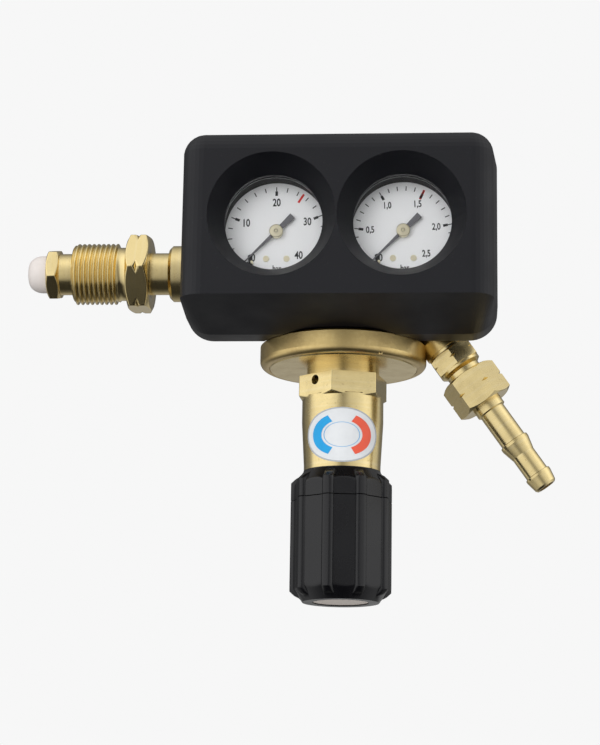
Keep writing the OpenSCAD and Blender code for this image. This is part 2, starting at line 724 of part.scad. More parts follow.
// The outline of the hood at its seam, smaller by an inset
module hood_outline(inset) {
    x = hood_w / 2 - inset;
    top = hood_top - inset;
    low = hood_low + inset;
    rt = top_corner_r;
    rl = low_corner_r;
    polygon([
        [-x, low + rl], [-x + rl, low], [x - rl, low], [x, low + rl],
        [x, top - rt], [x - rt, top], [-x + rt, top], [-x, top - rt]]);
    for (s = [-1, 1]) {
        translate([s * (x - rl), low + rl]) circle(rl);
        translate([s * (x - rt), top - rt]) circle(rt);
    }
}
module along_hood(y0, y1) translate([body_x, -y0, 0]) rotate([90, 0, 0]) linear_extrude(y1 - y0)
    children();

// The outer form of the hood, smaller by an inset, with its crease at the bottom
module hood_form(inset, back = 0) {
    r = hood_fillet - inset;
    x = hood_w / 2 - draft - hood_fillet;
    front = hood_front_y - hood_fillet;
    crease = hood_low + crease_rise + inset;
    hull() {
        along_hood(cover_front - back, cover_front + 0.01) hood_outline(inset, $fn = 48);
        for (s = [-1, 1]) {
            translate([body_x + s * x, -front, hood_top - draft - hood_fillet])
                sphere(r = r, $fn = 32);
            translate([body_x + s * x, -front, crease]) cylinder(h = 0.5, r = r, $fn = 32);
        }
    }
}

// The front shell of the hood: windows with sloped walls, gauge rings and screw posts
module hood_front() color("dimgray") difference() {
    union() {
        difference() {
            hood_form(0);
            hood_form(hood_wall, past);
        }
        for (s = [-1, 1]) on_gauge(s) rotate_extrude() polygon([
            [case_r + loose, case_front - 10], [case_r + 1.8, case_front - 10],
            [case_r + 1.8, window_low], [window_r + 0.1, hood_front_y - hood_wall / 2],
            [0, hood_front_y - hood_wall / 2], [0, window_low - 2],
            [case_r + loose, window_low - 2]]);
        intersection() {
            screw_places() bar(cover_front, hood_front_y - hood_wall / 2, post_r);
            hood_form(hood_wall / 2);
        }
    }
    for (s = [-1, 1]) on_gauge(s) {
        rotate_extrude() polygon([
            [0, hood_front_y + past], [window_r + 0.5, hood_front_y + past],
            [window_r, hood_front_y], [window_in_r, window_low],
            [window_in_r, window_low - 2 - past], [0, window_low - 2 - past]]);
        bar(case_front - 11, case_front, case_r + loose);
    }
    screw_places() bar(cover_front - past, cover_front + 14, cover_screw_r);
    on_body() bar(hood_low - past, flange_top + 0.4, flange_r + 0.5);
}

// The four places of the cover screws, with local +Z to the front
module screw_places() for (s = [-1, 1], z = [hood_top - screw_inset, hood_low + screw_inset])
    translate([body_x + s * (hood_w / 2 - screw_inset), 0, z]) rotate([90, 0, 0]) children();

// The rear cover, with a lip inside the front shell and holes for the gauge stems
module rear_cover() color("dimgray") difference() {
    union() {
        hull() {
            along_hood(cover_back + 2.5, cover_front) hood_outline(0, $fn = 48);
            along_hood(cover_back, cover_front) hood_outline(2.5, $fn = 48);
        }
        along_hood(cover_front, cover_front + lip_l) hood_outline(lip_inset);
    }
    along_hood(cover_back + hood_wall, cover_front + lip_l + past) hood_outline(lip_inset + lip_t);
    for (s = [-1, 1]) on_gauge(s) bar(0, cover_front, stem_r + loose);
    screw_places() {
        bar(0, cover_front + past, cover_screw_r + loose);
        bar(0, cover_back + cover_head_t, cover_head_r + loose);
        bar(cover_front, cover_front + lip_l + past, post_r + loose);
    }
    on_body() {
        bar(flange_top - past, flange_top + 3 + loose, arm_r + 3.2);
        bar(hood_low - past, flange_top + 0.4, flange_r + 0.5);
    }
    for (s = [-1, 1], i = [0:slot_n - 1])
        translate([body_x + s * (hood_w / 2 - slot_inset) - slot_l / 2,
                   -cover_back - hood_wall - past, slot_low + i * slot_pitch])
            cube([slot_l, hood_wall + 2 * past, slot_w]);
}

// The screws that hold the rear cover to the posts of the front shell
module cover_screws() color("silver") screw_places() difference() {
    union() {
        bar(cover_back + 0.2, cover_back + cover_head_t, cover_head_r);
        bar(cover_back + cover_head_t, cover_front + 12, cover_screw_r);
    }
    translate([0, 0, cover_back - past]) cylinder(h = past + 1.2, r = 1.45, $fn = 6);
}

// One gauge: its case, open at the front, with a step for the lens
module gauge_case(side) color("silver") on_gauge(side) rotate_extrude() polygon([
    [stem_r + loose, case_back], [case_r - 1, case_back], [case_r, case_back + 1],
    [case_r, case_front], [case_r - case_wall, case_front], [case_r - case_wall, lens_back],
    [case_r - case_wall - 0.5, lens_back], [case_r - case_wall - 0.5, case_back + case_wall],
    [stem_r + loose, case_back + case_wall]]);

// The threaded socket of a gauge, its hexagon and the block that holds the tube
module gauge_socket(side) color("gold") on_gauge(side) difference() {
    union() {
        bar(2, cover_back + hood_wall, stem_r);
        hexagon(cover_back + hood_wall, case_back, socket_af, true, false);
        bar(case_back, case_back + case_wall, stem_r);
        bar(case_back + case_wall, plate_back, stem_r + 0.6);
        translate([-3, -tube_mid_r - 2, case_back + case_wall])
            cube([6, tube_mid_r + 2, plate_back - case_back - case_wall]);
        translate([-3, -tube_mid_r - 2, case_back + case_wall])
            cube([6, 4, gear_z + 3 - case_back - case_wall]);
    }
    bar(2 - past, case_back + case_wall + 1, 1.2);
    translate([0, 0, case_back + case_wall + 1]) rotate([90, 0, 0]) bar(0, tube_mid_r, 0.8);
}

// The curved tube that opens with pressure, and its closed end
module gauge_tube(side) color("peru") on_gauge(side) {
    tube_z = gear_z + 0.5 - tube_h / 2;
    difference() {
        rotate(-90) rotate_extrude(angle = tube_sweep) tube_section(tube_z, tube_w, tube_h);
        translate([-3 - run, -tube_mid_r - 3, tube_z - past]) cube([6 + 2 * run, 6, tube_h + 2 * past]);
    }
    rotate(-90 + tube_sweep) translate([tube_mid_r - 1.2, -0.5, tube_z + 0.5])
        cube([2.4, 2.4, tube_h - 1]);
}
module tube_section(z, w, h) {
    translate([tube_mid_r - w / 2, z + w / 2]) square([w, h - w]);
    for (e = [z + w / 2, z + h - w / 2]) translate([tube_mid_r, e]) circle(w / 2, $fn = 24);
}

// The two plates of the movement, their pillars and the posts of the dial
module gauge_movement(side) color("gold") on_gauge(side) difference() {
    union() {
        bar(plate_back, plate_back + movement_t, movement_r);
        bar(plate_front - movement_t, plate_front, movement_r);
        for (p = pillars) translate([p[0], p[1], 0]) bar(plate_back, plate_front, pillar_r);
        for (s = [-1, 1]) translate([s * rivet_x, rivet_y, 0]) bar(plate_front, dial_back, rivet_r);
    }
    bar(plate_back - past, plate_front + past, arbor_r + run);
    translate([polar(gear_centres, zero_angle)[0], polar(gear_centres, zero_angle)[1], 0])
        bar(plate_back - past, plate_front + past, arbor_r + run);
    for (s = [-1, 1]) translate([s * rivet_x, rivet_y, 0]) bar(plate_front, dial_back + past, 0.6);
}

// The toothed sector and its arbor
module gauge_sector(side) color("gold") on_gauge(side)
    translate([polar(gear_centres, zero_angle)[0], polar(gear_centres, zero_angle)[1], 0]) {
        bar(plate_back, plate_front, arbor_r);
        bar(gear_z - 0.6, gear_z + gear_t + 0.6, arbor_r + 0.7);
        translate([0, 0, gear_z]) linear_extrude(gear_t) difference() {
            union() {
                intersection() {
                    circle(sector_pitch_r - 1.25 * tooth_module);
                    polygon([[0, 0], polar(12, -8), polar(14, 22), polar(12, 53)]);
                }
                for (k = [-1:10]) tooth(sector_pitch_r, pinion_teeth * gear_ratio,
                    45 - k * 360 / pinion_teeth / gear_ratio);
            }
            intersection() {
                difference() {
                    circle(sector_pitch_r - 1.8);
                    circle(2.2);
                }
                polygon([[0.6, 0.6], polar(12, 2), polar(14, 22), polar(12, 43)]);
            }
        }
    }

// The pinion on the pointer's arbor
module gauge_pinion(side) color("gold") on_gauge(side) {
    bar(plate_back, pointer_z, arbor_r);
    translate([0, 0, gear_z - 0.3]) linear_extrude(gear_t + 0.6) {
        circle(pinion_pitch_r - 1.25 * tooth_module);
        for (k = [0:pinion_teeth - 1])
            tooth(pinion_pitch_r, pinion_teeth, zero_angle + (k + 0.5) * 360 / pinion_teeth);
    }
}

// The dial, with holes for the arbor, the rivets and the stop pin
module gauge_dial(side) color("white") on_gauge(side) difference() {
    bar(dial_back, dial_front, dial_r);
    bar(dial_back - past, dial_front + past, 1.5);
    for (s = [-1, 1]) translate([s * rivet_x, rivet_y, 0]) bar(dial_back - past, dial_front + past, 0.6);
    rotate(stop_angle) translate([stop_r, 0, 0]) bar(dial_back - past, dial_front + past, 0.45);
}
module gauge_rivets(side) color("gold") on_gauge(side) {
    for (s = [-1, 1]) translate([s * rivet_x, rivet_y, 0]) {
        bar(plate_front + 0.2, dial_front, 0.6);
        bar(dial_front, dial_front + 0.5, rivet_r);
    }
    rotate(stop_angle) translate([stop_r, 0, 0]) bar(dial_back - 0.2, dial_front + 2.6, 0.45);
}

// The pointer with its hub and balancing tail, at zero
module gauge_pointer(side) color("gray") on_gauge(side) rotate(zero_angle) difference() {
    union() {
        translate([0, 0, pointer_z]) linear_extrude(pointer_t) polygon([
            [pointer_l, -0.12], [pointer_l, 0.12], [2, 0.6], [0, 0.7], [-3, 0.85], [-8.2, 1.15],
            [-8.2, -1.15], [-3, -0.85], [0, -0.7], [2, -0.6]]);
        bar(pointer_z - 0.8, pointer_z + 1.2, 2.1);
    }
    bar(pointer_z - past, pointer_z, arbor_r);
}

// The clear lens and the ring that holds it
module gauge_lens(side) color("lightblue") on_gauge(side)
    bar(lens_back, lens_front, case_r - case_wall);
module gauge_lens_ring(side) color("black") on_gauge(side) rotate_extrude() polygon([
    [case_r - case_wall - 1.3, lens_front], [case_r - case_wall, lens_front],
    [case_r - case_wall, lens_front + 1.2], [case_r - case_wall - 0.9, lens_front + 1.2]]);

valve_body();
hub_plug();
plug_seal();
valve_nozzle();
diaphragm();
slip_ring();
bonnet();
inlet_spindle();
inlet_nose();
nose_seal();
inlet_filter();
hood_front();
rear_cover();
cover_screws();
outlet_adapter();
outlet_washer();
hose_tail();
inlet_nut();
outlet_nut();
knob();
knob_ring();
knob_disc();
adjusting_screw();
spring_button();
thrust_ball();
adjusting_spring();
diaphragm_plate();
valve_poppet();
valve_spring();
for (side = [-1, 1]) {
    gauge = side < 0 ? "left_gauge_" : "right_gauge_";
    gauge_case(side);
    gauge_socket(side);
    gauge_tube(side);
    gauge_movement(side);
    gauge_dial(side);
    gauge_rivets(side);
    gauge_sector(side);
    gauge_pinion(side);
    gauge_pointer(side);
    gauge_lens(side);
    gauge_lens_ring(side);
}
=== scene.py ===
"""The looks of a gas cylinder regulator: finishes, detailed shapes, camera and light."""
import json
import math

import bmesh
import bpy
import numpy as np
from mathutils import Matrix, Vector


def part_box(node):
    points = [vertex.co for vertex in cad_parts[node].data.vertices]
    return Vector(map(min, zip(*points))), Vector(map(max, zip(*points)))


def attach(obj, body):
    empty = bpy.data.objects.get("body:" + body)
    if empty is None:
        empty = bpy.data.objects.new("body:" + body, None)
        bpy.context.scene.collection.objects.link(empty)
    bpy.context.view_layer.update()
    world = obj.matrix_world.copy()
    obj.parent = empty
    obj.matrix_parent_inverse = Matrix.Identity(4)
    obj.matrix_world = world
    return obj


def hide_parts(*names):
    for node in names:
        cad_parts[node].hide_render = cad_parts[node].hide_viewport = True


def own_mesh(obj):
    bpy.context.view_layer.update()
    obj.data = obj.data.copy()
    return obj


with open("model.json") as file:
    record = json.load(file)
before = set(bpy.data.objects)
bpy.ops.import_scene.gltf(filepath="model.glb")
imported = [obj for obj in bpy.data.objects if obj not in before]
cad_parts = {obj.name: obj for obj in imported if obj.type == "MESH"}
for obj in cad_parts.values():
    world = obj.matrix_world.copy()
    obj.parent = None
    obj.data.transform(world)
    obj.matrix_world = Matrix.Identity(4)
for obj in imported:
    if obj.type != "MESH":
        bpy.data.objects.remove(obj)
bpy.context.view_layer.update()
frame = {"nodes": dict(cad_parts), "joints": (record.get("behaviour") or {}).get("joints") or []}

MM = 0.001
X, Y, Z = range(3)
JOINTS = {joint["name"]: joint for joint in frame["joints"]}


def joint_place(name, axis):
    """One coordinate of a joint's place, to a thousandth of a millimetre."""
    return round(JOINTS[name]["pos_m"][axis] / MM, 3)


def joint_travel(name):
    """How far a sliding joint moves, to a thousandth of a millimetre."""
    return round(JOINTS[name]["range_m"][1] / MM, 3)


def span(node, axis):
    """A node's lowest and highest coordinate along one axis, to a thousandth of a millimetre."""
    return [round(corner[axis] / MM, 3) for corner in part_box(node)]


# Places that several pieces share: the gauges' and the body's axes, the dials' fronts and the outlet's slope
GAUGE_X = {gauge: joint_place(f"{gauge}_pointer_turn", X) for gauge in ("left_gauge", "right_gauge")}
GAUGE_Z = joint_place("left_gauge_pointer_turn", Z)
BODY_X = joint_place("knob_turn", X)
DIAL_FRONT = -span("left_gauge_dial", Y)[0]
OUTLET_AXIS = JOINTS["outlet_nut_turn"]["axis"]
OUTLET_DROP = math.atan2(-OUTLET_AXIS[Z], OUTLET_AXIS[X])


# Camera and light

# The camera's place, its turns left, up and round its own axis in degrees, and its lens and sensor
CAMERA_PLACE = Vector((136.3, -760, -211.1)) * MM
CAMERA_TURN = (4.46, 12.80, 0.90)
CAMERA_LENS = 102.27
SENSOR_WIDTH = 36
# The grey of the backdrop and the floor
PALE = 0.93


def add_camera():
    """The photograph's view, from a little below and to the right."""
    data = bpy.data.cameras.new("camera")
    data.lens = CAMERA_LENS
    data.sensor_width = SENSOR_WIDTH
    camera = bpy.data.objects.new("camera", data)
    camera.location = CAMERA_PLACE
    left, up, roll = (math.radians(angle) for angle in CAMERA_TURN)
    tilted = Matrix.Rotation(left, 4, "Z") @ Matrix.Rotation(math.pi / 2 + up, 4, "X")
    camera.rotation_euler = (tilted @ Matrix.Rotation(roll, 4, "Z")).to_euler()
    bpy.context.scene.collection.objects.link(camera)
    bpy.context.scene.camera = camera


# Each lamp by its place and its target in metres, its width and height, and its power in watts
LAMPS = {
    "front_box": ((-0.05, -1.1, -0.02), (0.08, 0, -0.03), 0.9, 0.6, 6.2),
    "top_box": ((0.05, -0.1, 0.9), (0.08, 0, 0), 0.8, 0.6, 1.0),
    "floor_bounce": ((0.09, -0.35, -0.6), (0.09, 0, -0.1), 0.7, 0.5, 1.0),
}


def add_soft_box(name, place, target, width, height, power):
    """One rectangular studio lamp that points at a target and doesn't show in reflections."""
    data = bpy.data.lights.new(name, "AREA")
    data.shape = "RECTANGLE"
    data.size = width
    data.size_y = height
    data.energy = power
    lamp = bpy.data.objects.new(name, data)
    lamp.location = place
    lamp.rotation_euler = (Vector(target) - Vector(place)).to_track_quat("-Z", "Y").to_euler()
    bpy.context.scene.collection.objects.link(lamp)
    lamp.visible_glossy = False


# Brightness of the studio round the object by height angle: 0 is the front, 90 up, 180 the back
HEIGHT_BANDS = [
    (-180, 0.80), (-167, 1.0), (-145, 0.70), (-120, 0.16), (-98, 0.03), (-45, 0.03),
    (-38, 0.30), (-28, 0.50), (-10, 0.72), (10, 0.84), (30, 0.96), (45, 1.0),
    (66, 0.86), (80, 0.68), (100, 0.50), (125, 0.36), (180, 0.36),
]
# And by side angle: 0 is the front, where the camera leaves a darker gap, -90 the left and 90 the right
SIDE_BANDS = [
    (-180, 0.30), (-125, 0.14), (-104, 0.25), (-93, 0.90), (-80, 1.0), (-45, 1.0),
    (-16, 0.85), (-7, 0.42), (5, 0.22), (14, 0.42), (26, 0.62), (50, 0.75),
    (75, 1.0), (92, 0.95), (113, 0.55), (140, 0.35), (180, 0.30),
]
STUDIO_GAIN = 1.55
# The side bands fade to this level straight above and below
OVERHEAD_LEVEL = 0.8
# The least light from the sides below the horizon, and how fast it sets in there
LOW_SIDES = 1.3
LOW_RISE = 2.5
# How closely the overhead level keeps to straight above and below, and the low light to the sides
FADE_POWER = 3.0


def add_world():
    """A pale backdrop for the camera, and a studio with dark and bright sides for light and reflections."""
    world = bpy.data.worlds.new("studio")
    bpy.context.scene.world = world
    world.use_nodes = True
    tree = world.node_tree
    tree.nodes.clear()

    def add(kind, **values):
        node = tree.nodes.new(kind)
        for key, value in values.items():
            setattr(node, key, value)
        return node

    def calculate(operation, *terms):
        node = add("ShaderNodeMath", operation=operation)
        for place, term in enumerate(terms):
            if hasattr(term, "is_output"):
                tree.links.new(term, node.inputs[place])
            else:
                node.inputs[place].default_value = term
        return node.outputs[0]

    def bands(angle, stops):
        """The brightness at an angle, between the stops of a table in degrees."""
        node = add("ShaderNodeValToRGB")
        tree.links.new(calculate("MULTIPLY_ADD", angle, 0.5 / math.pi, 0.5), node.inputs[0])
        places = node.color_ramp.elements
        while len(places) > 1:
            places.remove(places[-1])
        for index, (degrees, level) in enumerate(stops):
            stop = places[0] if index == 0 else places.new(degrees / 360 + 0.5)
            stop.position = degrees / 360 + 0.5
            stop.color = (level, level, level, 1.0)
        return node.outputs[0]

    coords = add("ShaderNodeTexCoord")
    axes = add("ShaderNodeSeparateXYZ")
    tree.links.new(coords.outputs["Generated"], axes.inputs[0])
    x, y, z = axes.outputs
    front = calculate("MULTIPLY", y, -1.0)
    # For the height bands, a direction to the side counts as in front
    reach = calculate("ADD", front, calculate("ABSOLUTE", x))
    height = bands(calculate("ARCTAN2", z, reach), HEIGHT_BANDS)
    side = bands(calculate("ARCTAN2", x, front), SIDE_BANDS)
    overhead = calculate("POWER", calculate("ABSOLUTE", z), FADE_POWER)
    rest_of_side = calculate("SUBTRACT", OVERHEAD_LEVEL, side)
    side = calculate("ADD", side, calculate("MULTIPLY", overhead, rest_of_side))
    studio = calculate("MULTIPLY", height, calculate("MULTIPLY", side, STUDIO_GAIN))
    below = calculate("MAXIMUM", calculate("MULTIPLY", z, -LOW_RISE), 0.0)
    sideways = calculate("POWER", calculate("ABSOLUTE", x), FADE_POWER)
    low_sides = calculate("MULTIPLY", sideways, calculate("MINIMUM", below, 1.0))
    low_sides = calculate("MULTIPLY", low_sides, LOW_SIDES)
    studio = calculate("MAXIMUM", studio, low_sides)
    lit = add("ShaderNodeBackground")
    lit.inputs["Color"].default_value = (1, 1, 1, 1)
    tree.links.new(calculate("MULTIPLY", studio, PALE), lit.inputs["Strength"])
    plain = add("ShaderNodeBackground")
    plain.inputs["Color"].default_value = (1, 1, 1, 1)
    plain.inputs["Strength"].default_value = PALE
    rays = add("ShaderNodeLightPath")
    mix = add("ShaderNodeMixShader")
    tree.links.new(rays.outputs["Is Camera Ray"], mix.inputs[0])
    tree.links.new(lit.outputs[0], mix.inputs[1])
    tree.links.new(plain.outputs[0], mix.inputs[2])
    out = add("ShaderNodeOutputWorld")
    tree.links.new(mix.outputs[0], out.inputs[0])


# The floor's height and size in metres, and how much of it shows the camera its plain colour
FLOOR_Z = -0.75
FLOOR_SIZE = 60.0
FLOOR_GLOW = 0.82
FLOOR_ROUGHNESS = 0.9


def add_floor():
    """The pale floor below the camera, which mostly shows its own colour and keeps a faint shadow."""
    mesh = bpy.data.meshes.new("floor")
    half = FLOOR_SIZE / 2
    corners = [(x * half, y * half, FLOOR_Z) for x, y in ((-1, -1), (1, -1), (1, 1), (-1, 1))]
    mesh.from_pydata(corners, [], [(0, 1, 2, 3)])
    floor = bpy.data.objects.new("floor", mesh)
    bpy.context.scene.collection.objects.link(floor)
    material = bpy.data.materials.new("pale_floor")
    material.use_nodes = True
    tree = material.node_tree
    shader = tree.nodes["Principled BSDF"]
    shader.inputs["Base Color"].default_value = (PALE, PALE, PALE, 1)
    shader.inputs["Roughness"].default_value = FLOOR_ROUGHNESS
    glow = tree.nodes.new("ShaderNodeEmission")
    glow.inputs["Color"].default_value = (PALE, PALE, PALE, 1)
    rays = tree.nodes.new("ShaderNodeLightPath")
    share = tree.nodes.new("ShaderNodeMath")
    share.operation = "MULTIPLY"
    share.inputs[1].default_value = FLOOR_GLOW
    mix = tree.nodes.new("ShaderNodeMixShader")
    tree.links.new(rays.outputs["Is Camera Ray"], share.inputs[0])
    tree.links.new(share.outputs[0], mix.inputs[0])
    tree.links.new(shader.outputs[0], mix.inputs[1])
    tree.links.new(glow.outputs[0], mix.inputs[2])
    tree.links.new(mix.outputs[0], tree.nodes["Material Output"].inputs[0])
    mesh.materials.append(material)
    floor.visible_glossy = False
    floor.visible_diffuse = False


# Finishes

class Finish:
    """A procedural material built round one Principled shader."""

    def __init__(self, name, color, roughness, metallic=0.0):
        self.material = bpy.data.materials.new(name)
        self.material.use_nodes = True
        self.tree = self.material.node_tree
        self.shader = self.tree.nodes["Principled BSDF"]
        self.color = (*color, 1.0)
        self.roughness = roughness
        self.shader.inputs["Base Color"].default_value = self.color
        self.shader.inputs["Roughness"].default_value = roughness
        self.shader.inputs["Metallic"].default_value = metallic
        self.coords = self.tree.nodes.new("ShaderNodeTexCoord")

    def add(self, kind, inputs=None, **values):
        """One node, with its properties and its inputs set to values or linked to outputs."""
        node = self.tree.nodes.new(kind)
        for key, value in values.items():
            setattr(node, key, value)
        for key, value in (inputs or {}).items():
            if hasattr(value, "is_output"):
                self.tree.links.new(value, node.inputs[key])
            else:
                node.inputs[key].default_value = value
        return node

    def space(self, scale, turn):
        """The object's coordinates, turned first and stretched after it."""
        turned = self.add("ShaderNodeMapping", {"Vector": self.coords.outputs["Object"], "Rotation": turn})
        return self.add("ShaderNodeMapping", {"Vector": turned.outputs[0], "Scale": scale}).outputs[0]

    def noise(self, scale, detail, roughness, vector=None):
        """A noise value between 0 and 1, with features of about 1/scale metres."""
        inputs = {"Scale": scale, "Detail": detail, "Roughness": roughness}
        inputs["Vector"] = vector or self.coords.outputs["Object"]
        return self.add("ShaderNodeTexNoise", inputs).outputs[0]

    def range(self, value, low, high, start=0.0, end=1.0):
        """The value's stretch from low to high, as a value from start to end."""
        inputs = {"Value": value, "From Min": low, "From Max": high, "To Min": start, "To Max": end}
        return self.add("ShaderNodeMapRange", inputs, clamp=True).outputs[0]

    def tint(self, factor, other):
        """Blends the colour so far towards another one."""
        base = self.shader.inputs["Base Color"]
        before = base.links[0].from_socket if base.is_linked else self.color
        node = self.add("ShaderNodeMix", {0: factor, 6: before, 7: (*other, 1.0)}, data_type="RGBA")
        self.tree.links.new(node.outputs[2], base)

    def gloss(self, factor, other):
        """Blends the roughness so far towards another one."""
        rough = self.shader.inputs["Roughness"]
        before = rough.links[0].from_socket if rough.is_linked else self.roughness
        node = self.add("ShaderNodeMix", {0: factor, 2: before, 3: other}, data_type="FLOAT")
        self.tree.links.new(node.outputs[0], rough)

    def bump(self, height, depth, strength):
        """Raises the surface by a height value, depth metres at 1."""
        normal = self.shader.inputs["Normal"]
        inputs = {"Height": height, "Distance": depth, "Strength": strength}
        if normal.is_linked:
            inputs["Normal"] = normal.links[0].from_socket
        self.tree.links.new(self.add("ShaderNodeBump", inputs).outputs[0], normal)


# Turns that bring each axis of the object onto X, for lines that run round it
AXIS_TURN = {
    "x": (0, 0, 0),
    "y": (0, 0, -math.pi / 2),
    "z": (0, math.pi / 2, 0),
    "outlet": (0, -OUTLET_DROP, 0),
}
# Brass when clean, dull, stained and rubbed, on the pointers' hubs, and as a sand-blasted forging
BRASS = (0.83, 0.67, 0.33)
BRASS_DULL = (0.62, 0.49, 0.24)
BRASS_BROWN = (0.36, 0.24, 0.10)
BRASS_PALE = (0.88, 0.78, 0.52)
HUB_PALE = (0.95, 0.89, 0.66)
FORGED_GOLD = (0.74, 0.56, 0.24)
SATIN_BLACK = (0.0040, 0.0042, 0.0064)
KNOB_BLACK = (0.0026, 0.0026, 0.0038)


def shaded(color, gain, grey=0.0):
    """A colour made lighter or darker, with some grey added."""
    return tuple(min(1.0, part * gain + grey) for part in color)


def turned_brass(name, axis, roughness=0.2, lines=0.5, color=BRASS, wear=1.0):
    """Brass from a lathe: fine and paler rings round its axis, dull stains and brown specks."""
    finish = Finish(name, color, roughness, 1.0)
    rings = finish.noise(1.0, 2.0, 0.6, finish.space((3200, 26, 26), AXIS_TURN[axis]))
    broad = finish.noise(1.0, 1.0, 0.5, finish.space((700, 12, 12), AXIS_TURN[axis]))
    stains = finish.noise(130, 4.0, 0.6)
    specks = finish.noise(900, 2.0, 0.5)
    finish.tint(finish.range(stains, 0.42, 0.75, 0.0, 0.45 * wear), BRASS_DULL)
    finish.tint(finish.range(specks, 0.66, 0.80, 0.0, 0.5 * wear), BRASS_BROWN)
    finish.tint(finish.range(broad, 0.50, 0.85, 0.0, 0.35), BRASS_PALE)
    finish.gloss(finish.range(stains, 0.35, 0.70, 0.0, 0.6 * wear), roughness + 0.14)
    finish.bump(rings, 8e-6, lines)
    return finish.material


def forged_brass(name):
    """Sand-blasted forging: fine pits, low waves and browner patches."""
    finish = Finish(name, FORGED_GOLD, 0.36, 1.0)
    patches = finish.noise(85, 4.0, 0.55)
    grain = finish.noise(4200, 3.0, 0.6)
    pits = finish.noise(900, 3.0, 0.6)
    finish.tint(finish.range(patches, 0.46, 0.68, 0.0, 0.45), BRASS_BROWN)
    finish.tint(finish.range(pits, 0.50, 0.75, 0.0, 0.35), BRASS)
    finish.gloss(finish.range(pits, 0.40, 0.70, 0.0, 0.7), 0.24)
    finish.bump(patches, 3e-4, 0.5)
    finish.bump(pits, 3e-5, 0.55)
    finish.bump(grain, 6e-6, 0.5)
    return finish.material


def plain_metal(name, color, roughness):
    """Small inner and hidden metal pieces, with a soft rubbed finish."""
    finish = Finish(name, color, roughness, 1.0)
    rubbed = finish.noise(320, 4.0, 0.6)
    fine = finish.noise(2600, 2.0, 0.5)
    finish.gloss(finish.range(rubbed, 0.35, 0.70), min(1.0, roughness + 0.2))
    finish.tint(finish.range(rubbed, 0.50, 0.80, 0.0, 0.4), shaded(color, 0.6))
    finish.bump(fine, 5e-6, 0.5)
    return finish.material


def moulded_plastic(name, color, roughness, specular, grain=0.5, waves=0.2):
    """Moulded plastic: a fine eroded grain, slow waves in the gloss, and a few rubbed specks."""
    finish = Finish(name, color, roughness)
    finish.shader.inputs["Specular IOR Level"].default_value = specular
    fine = finish.noise(3400, 3.0, 0.6)
    slow = finish.noise(55, 3.0, 0.5)
    specks = finish.noise(1500, 1.0, 0.5)
    finish.gloss(finish.range(slow, 0.35, 0.70), min(1.0, roughness + 0.12))
    finish.tint(finish.range(specks, 0.72, 0.82, 0.0, 0.35), shaded(color, 2.6, 0.02))
    finish.bump(slow, 2.5e-4, waves)
    finish.bump(fine, 9e-6, grain)
    return finish.material


def soft_polymer(name, color, roughness, specular=0.4):
    """Nylon, fibre and rubber: a smooth body with a faint cloudy tone."""
    finish = Finish(name, color, roughness)
    finish.shader.inputs["Specular IOR Level"].default_value = specular
    cloud = finish.noise(240, 3.0, 0.5)
    fine = finish.noise(2200, 2.0, 0.5)
    finish.tint(finish.range(cloud, 0.40, 0.75, 0.0, 0.5), shaded(color, 0.86))
    finish.bump(fine, 8e-6, 0.4)
    return finish.material


def clear_lens(name):
    """A thin clear window that lets light straight through and reflects a little."""
    material = bpy.data.materials.new(name)
    material.use_nodes = True
    tree = material.node_tree
    tree.nodes.clear()
    through = tree.nodes.new("ShaderNodeBsdfTransparent")
    mirror = tree.nodes.new("ShaderNodeBsdfGlossy")
    mirror.inputs["Roughness"].default_value = 0.03
    fresnel = tree.nodes.new("ShaderNodeFresnel")
    fresnel.inputs["IOR"].default_value = 1.33
    mix = tree.nodes.new("ShaderNodeMixShader")
    out = tree.nodes.new("ShaderNodeOutputMaterial")
    tree.links.new(fresnel.outputs[0], mix.inputs[0])
    tree.links.new(through.outputs[0], mix.inputs[1])
    tree.links.new(mirror.outputs[0], mix.inputs[2])
    tree.links.new(mix.outputs[0], out.inputs[0])
    return material


def flat_ink(name, color):
    """Screen print on a dial, with a slight unevenness in its cover."""
    finish = Finish(name, color, 0.55)
    uneven = finish.noise(1800, 3.0, 0.6)
    finish.tint(finish.range(uneven, 0.45, 0.75, 0.0, 0.35), shaded(color, 1.6, 0.02))
    finish.bump(uneven, 3e-6, 0.4)
    return finish.material


# The finishes of the CAD model's material slots, and of single nodes and pieces
FINISHES = {
    "forged_brass": forged_brass("forged_brass_finish"),
    "turned_brass": turned_brass("turned_brass_x", "x"),
    "turned_brass_y": turned_brass("turned_brass_y", "y", 0.34, 0.3, HUB_PALE, 0.2),
    "thread_brass": turned_brass("thread_brass", "x", 0.16, 0.12, BRASS, 0.3),
    "turned_brass_z": turned_brass("turned_brass_z", "z"),
    "turned_brass_outlet": turned_brass("turned_brass_outlet", "outlet"),
    "bronze": plain_metal("bronze_finish", (0.50, 0.32, 0.16), 0.45),
    "steel": plain_metal("steel_finish", (0.56, 0.57, 0.58), 0.30),
    "black_rubber": soft_polymer("black_rubber_finish", (0.018, 0.018, 0.018), 0.7),
    "white_nylon": soft_polymer("white_nylon_finish", (0.66, 0.61, 0.58), 0.40),
    "black_satin_plastic": moulded_plastic("black_satin_finish", SATIN_BLACK, 0.42, 0.34, 0.35),
    "black_knob_plastic": moulded_plastic("black_knob_finish", KNOB_BLACK, 0.22, 0.45, 0.15, 0.1),
    "beige_plastic": moulded_plastic("beige_disc_finish", (0.80, 0.72, 0.66), 0.5, 0.4),
    "fibre": soft_polymer("fibre_finish", (0.42, 0.20, 0.11), 0.8, 0.2),
    "dial_white": moulded_plastic("dial_white_finish", (0.90, 0.91, 0.92), 0.55, 0.3, 0.2, 0.0),
    "pointer_grey": moulded_plastic("pointer_grey_finish", (0.12, 0.12, 0.13), 0.45, 0.4),
    "clear_lens": clear_lens("clear_lens_finish"),
}
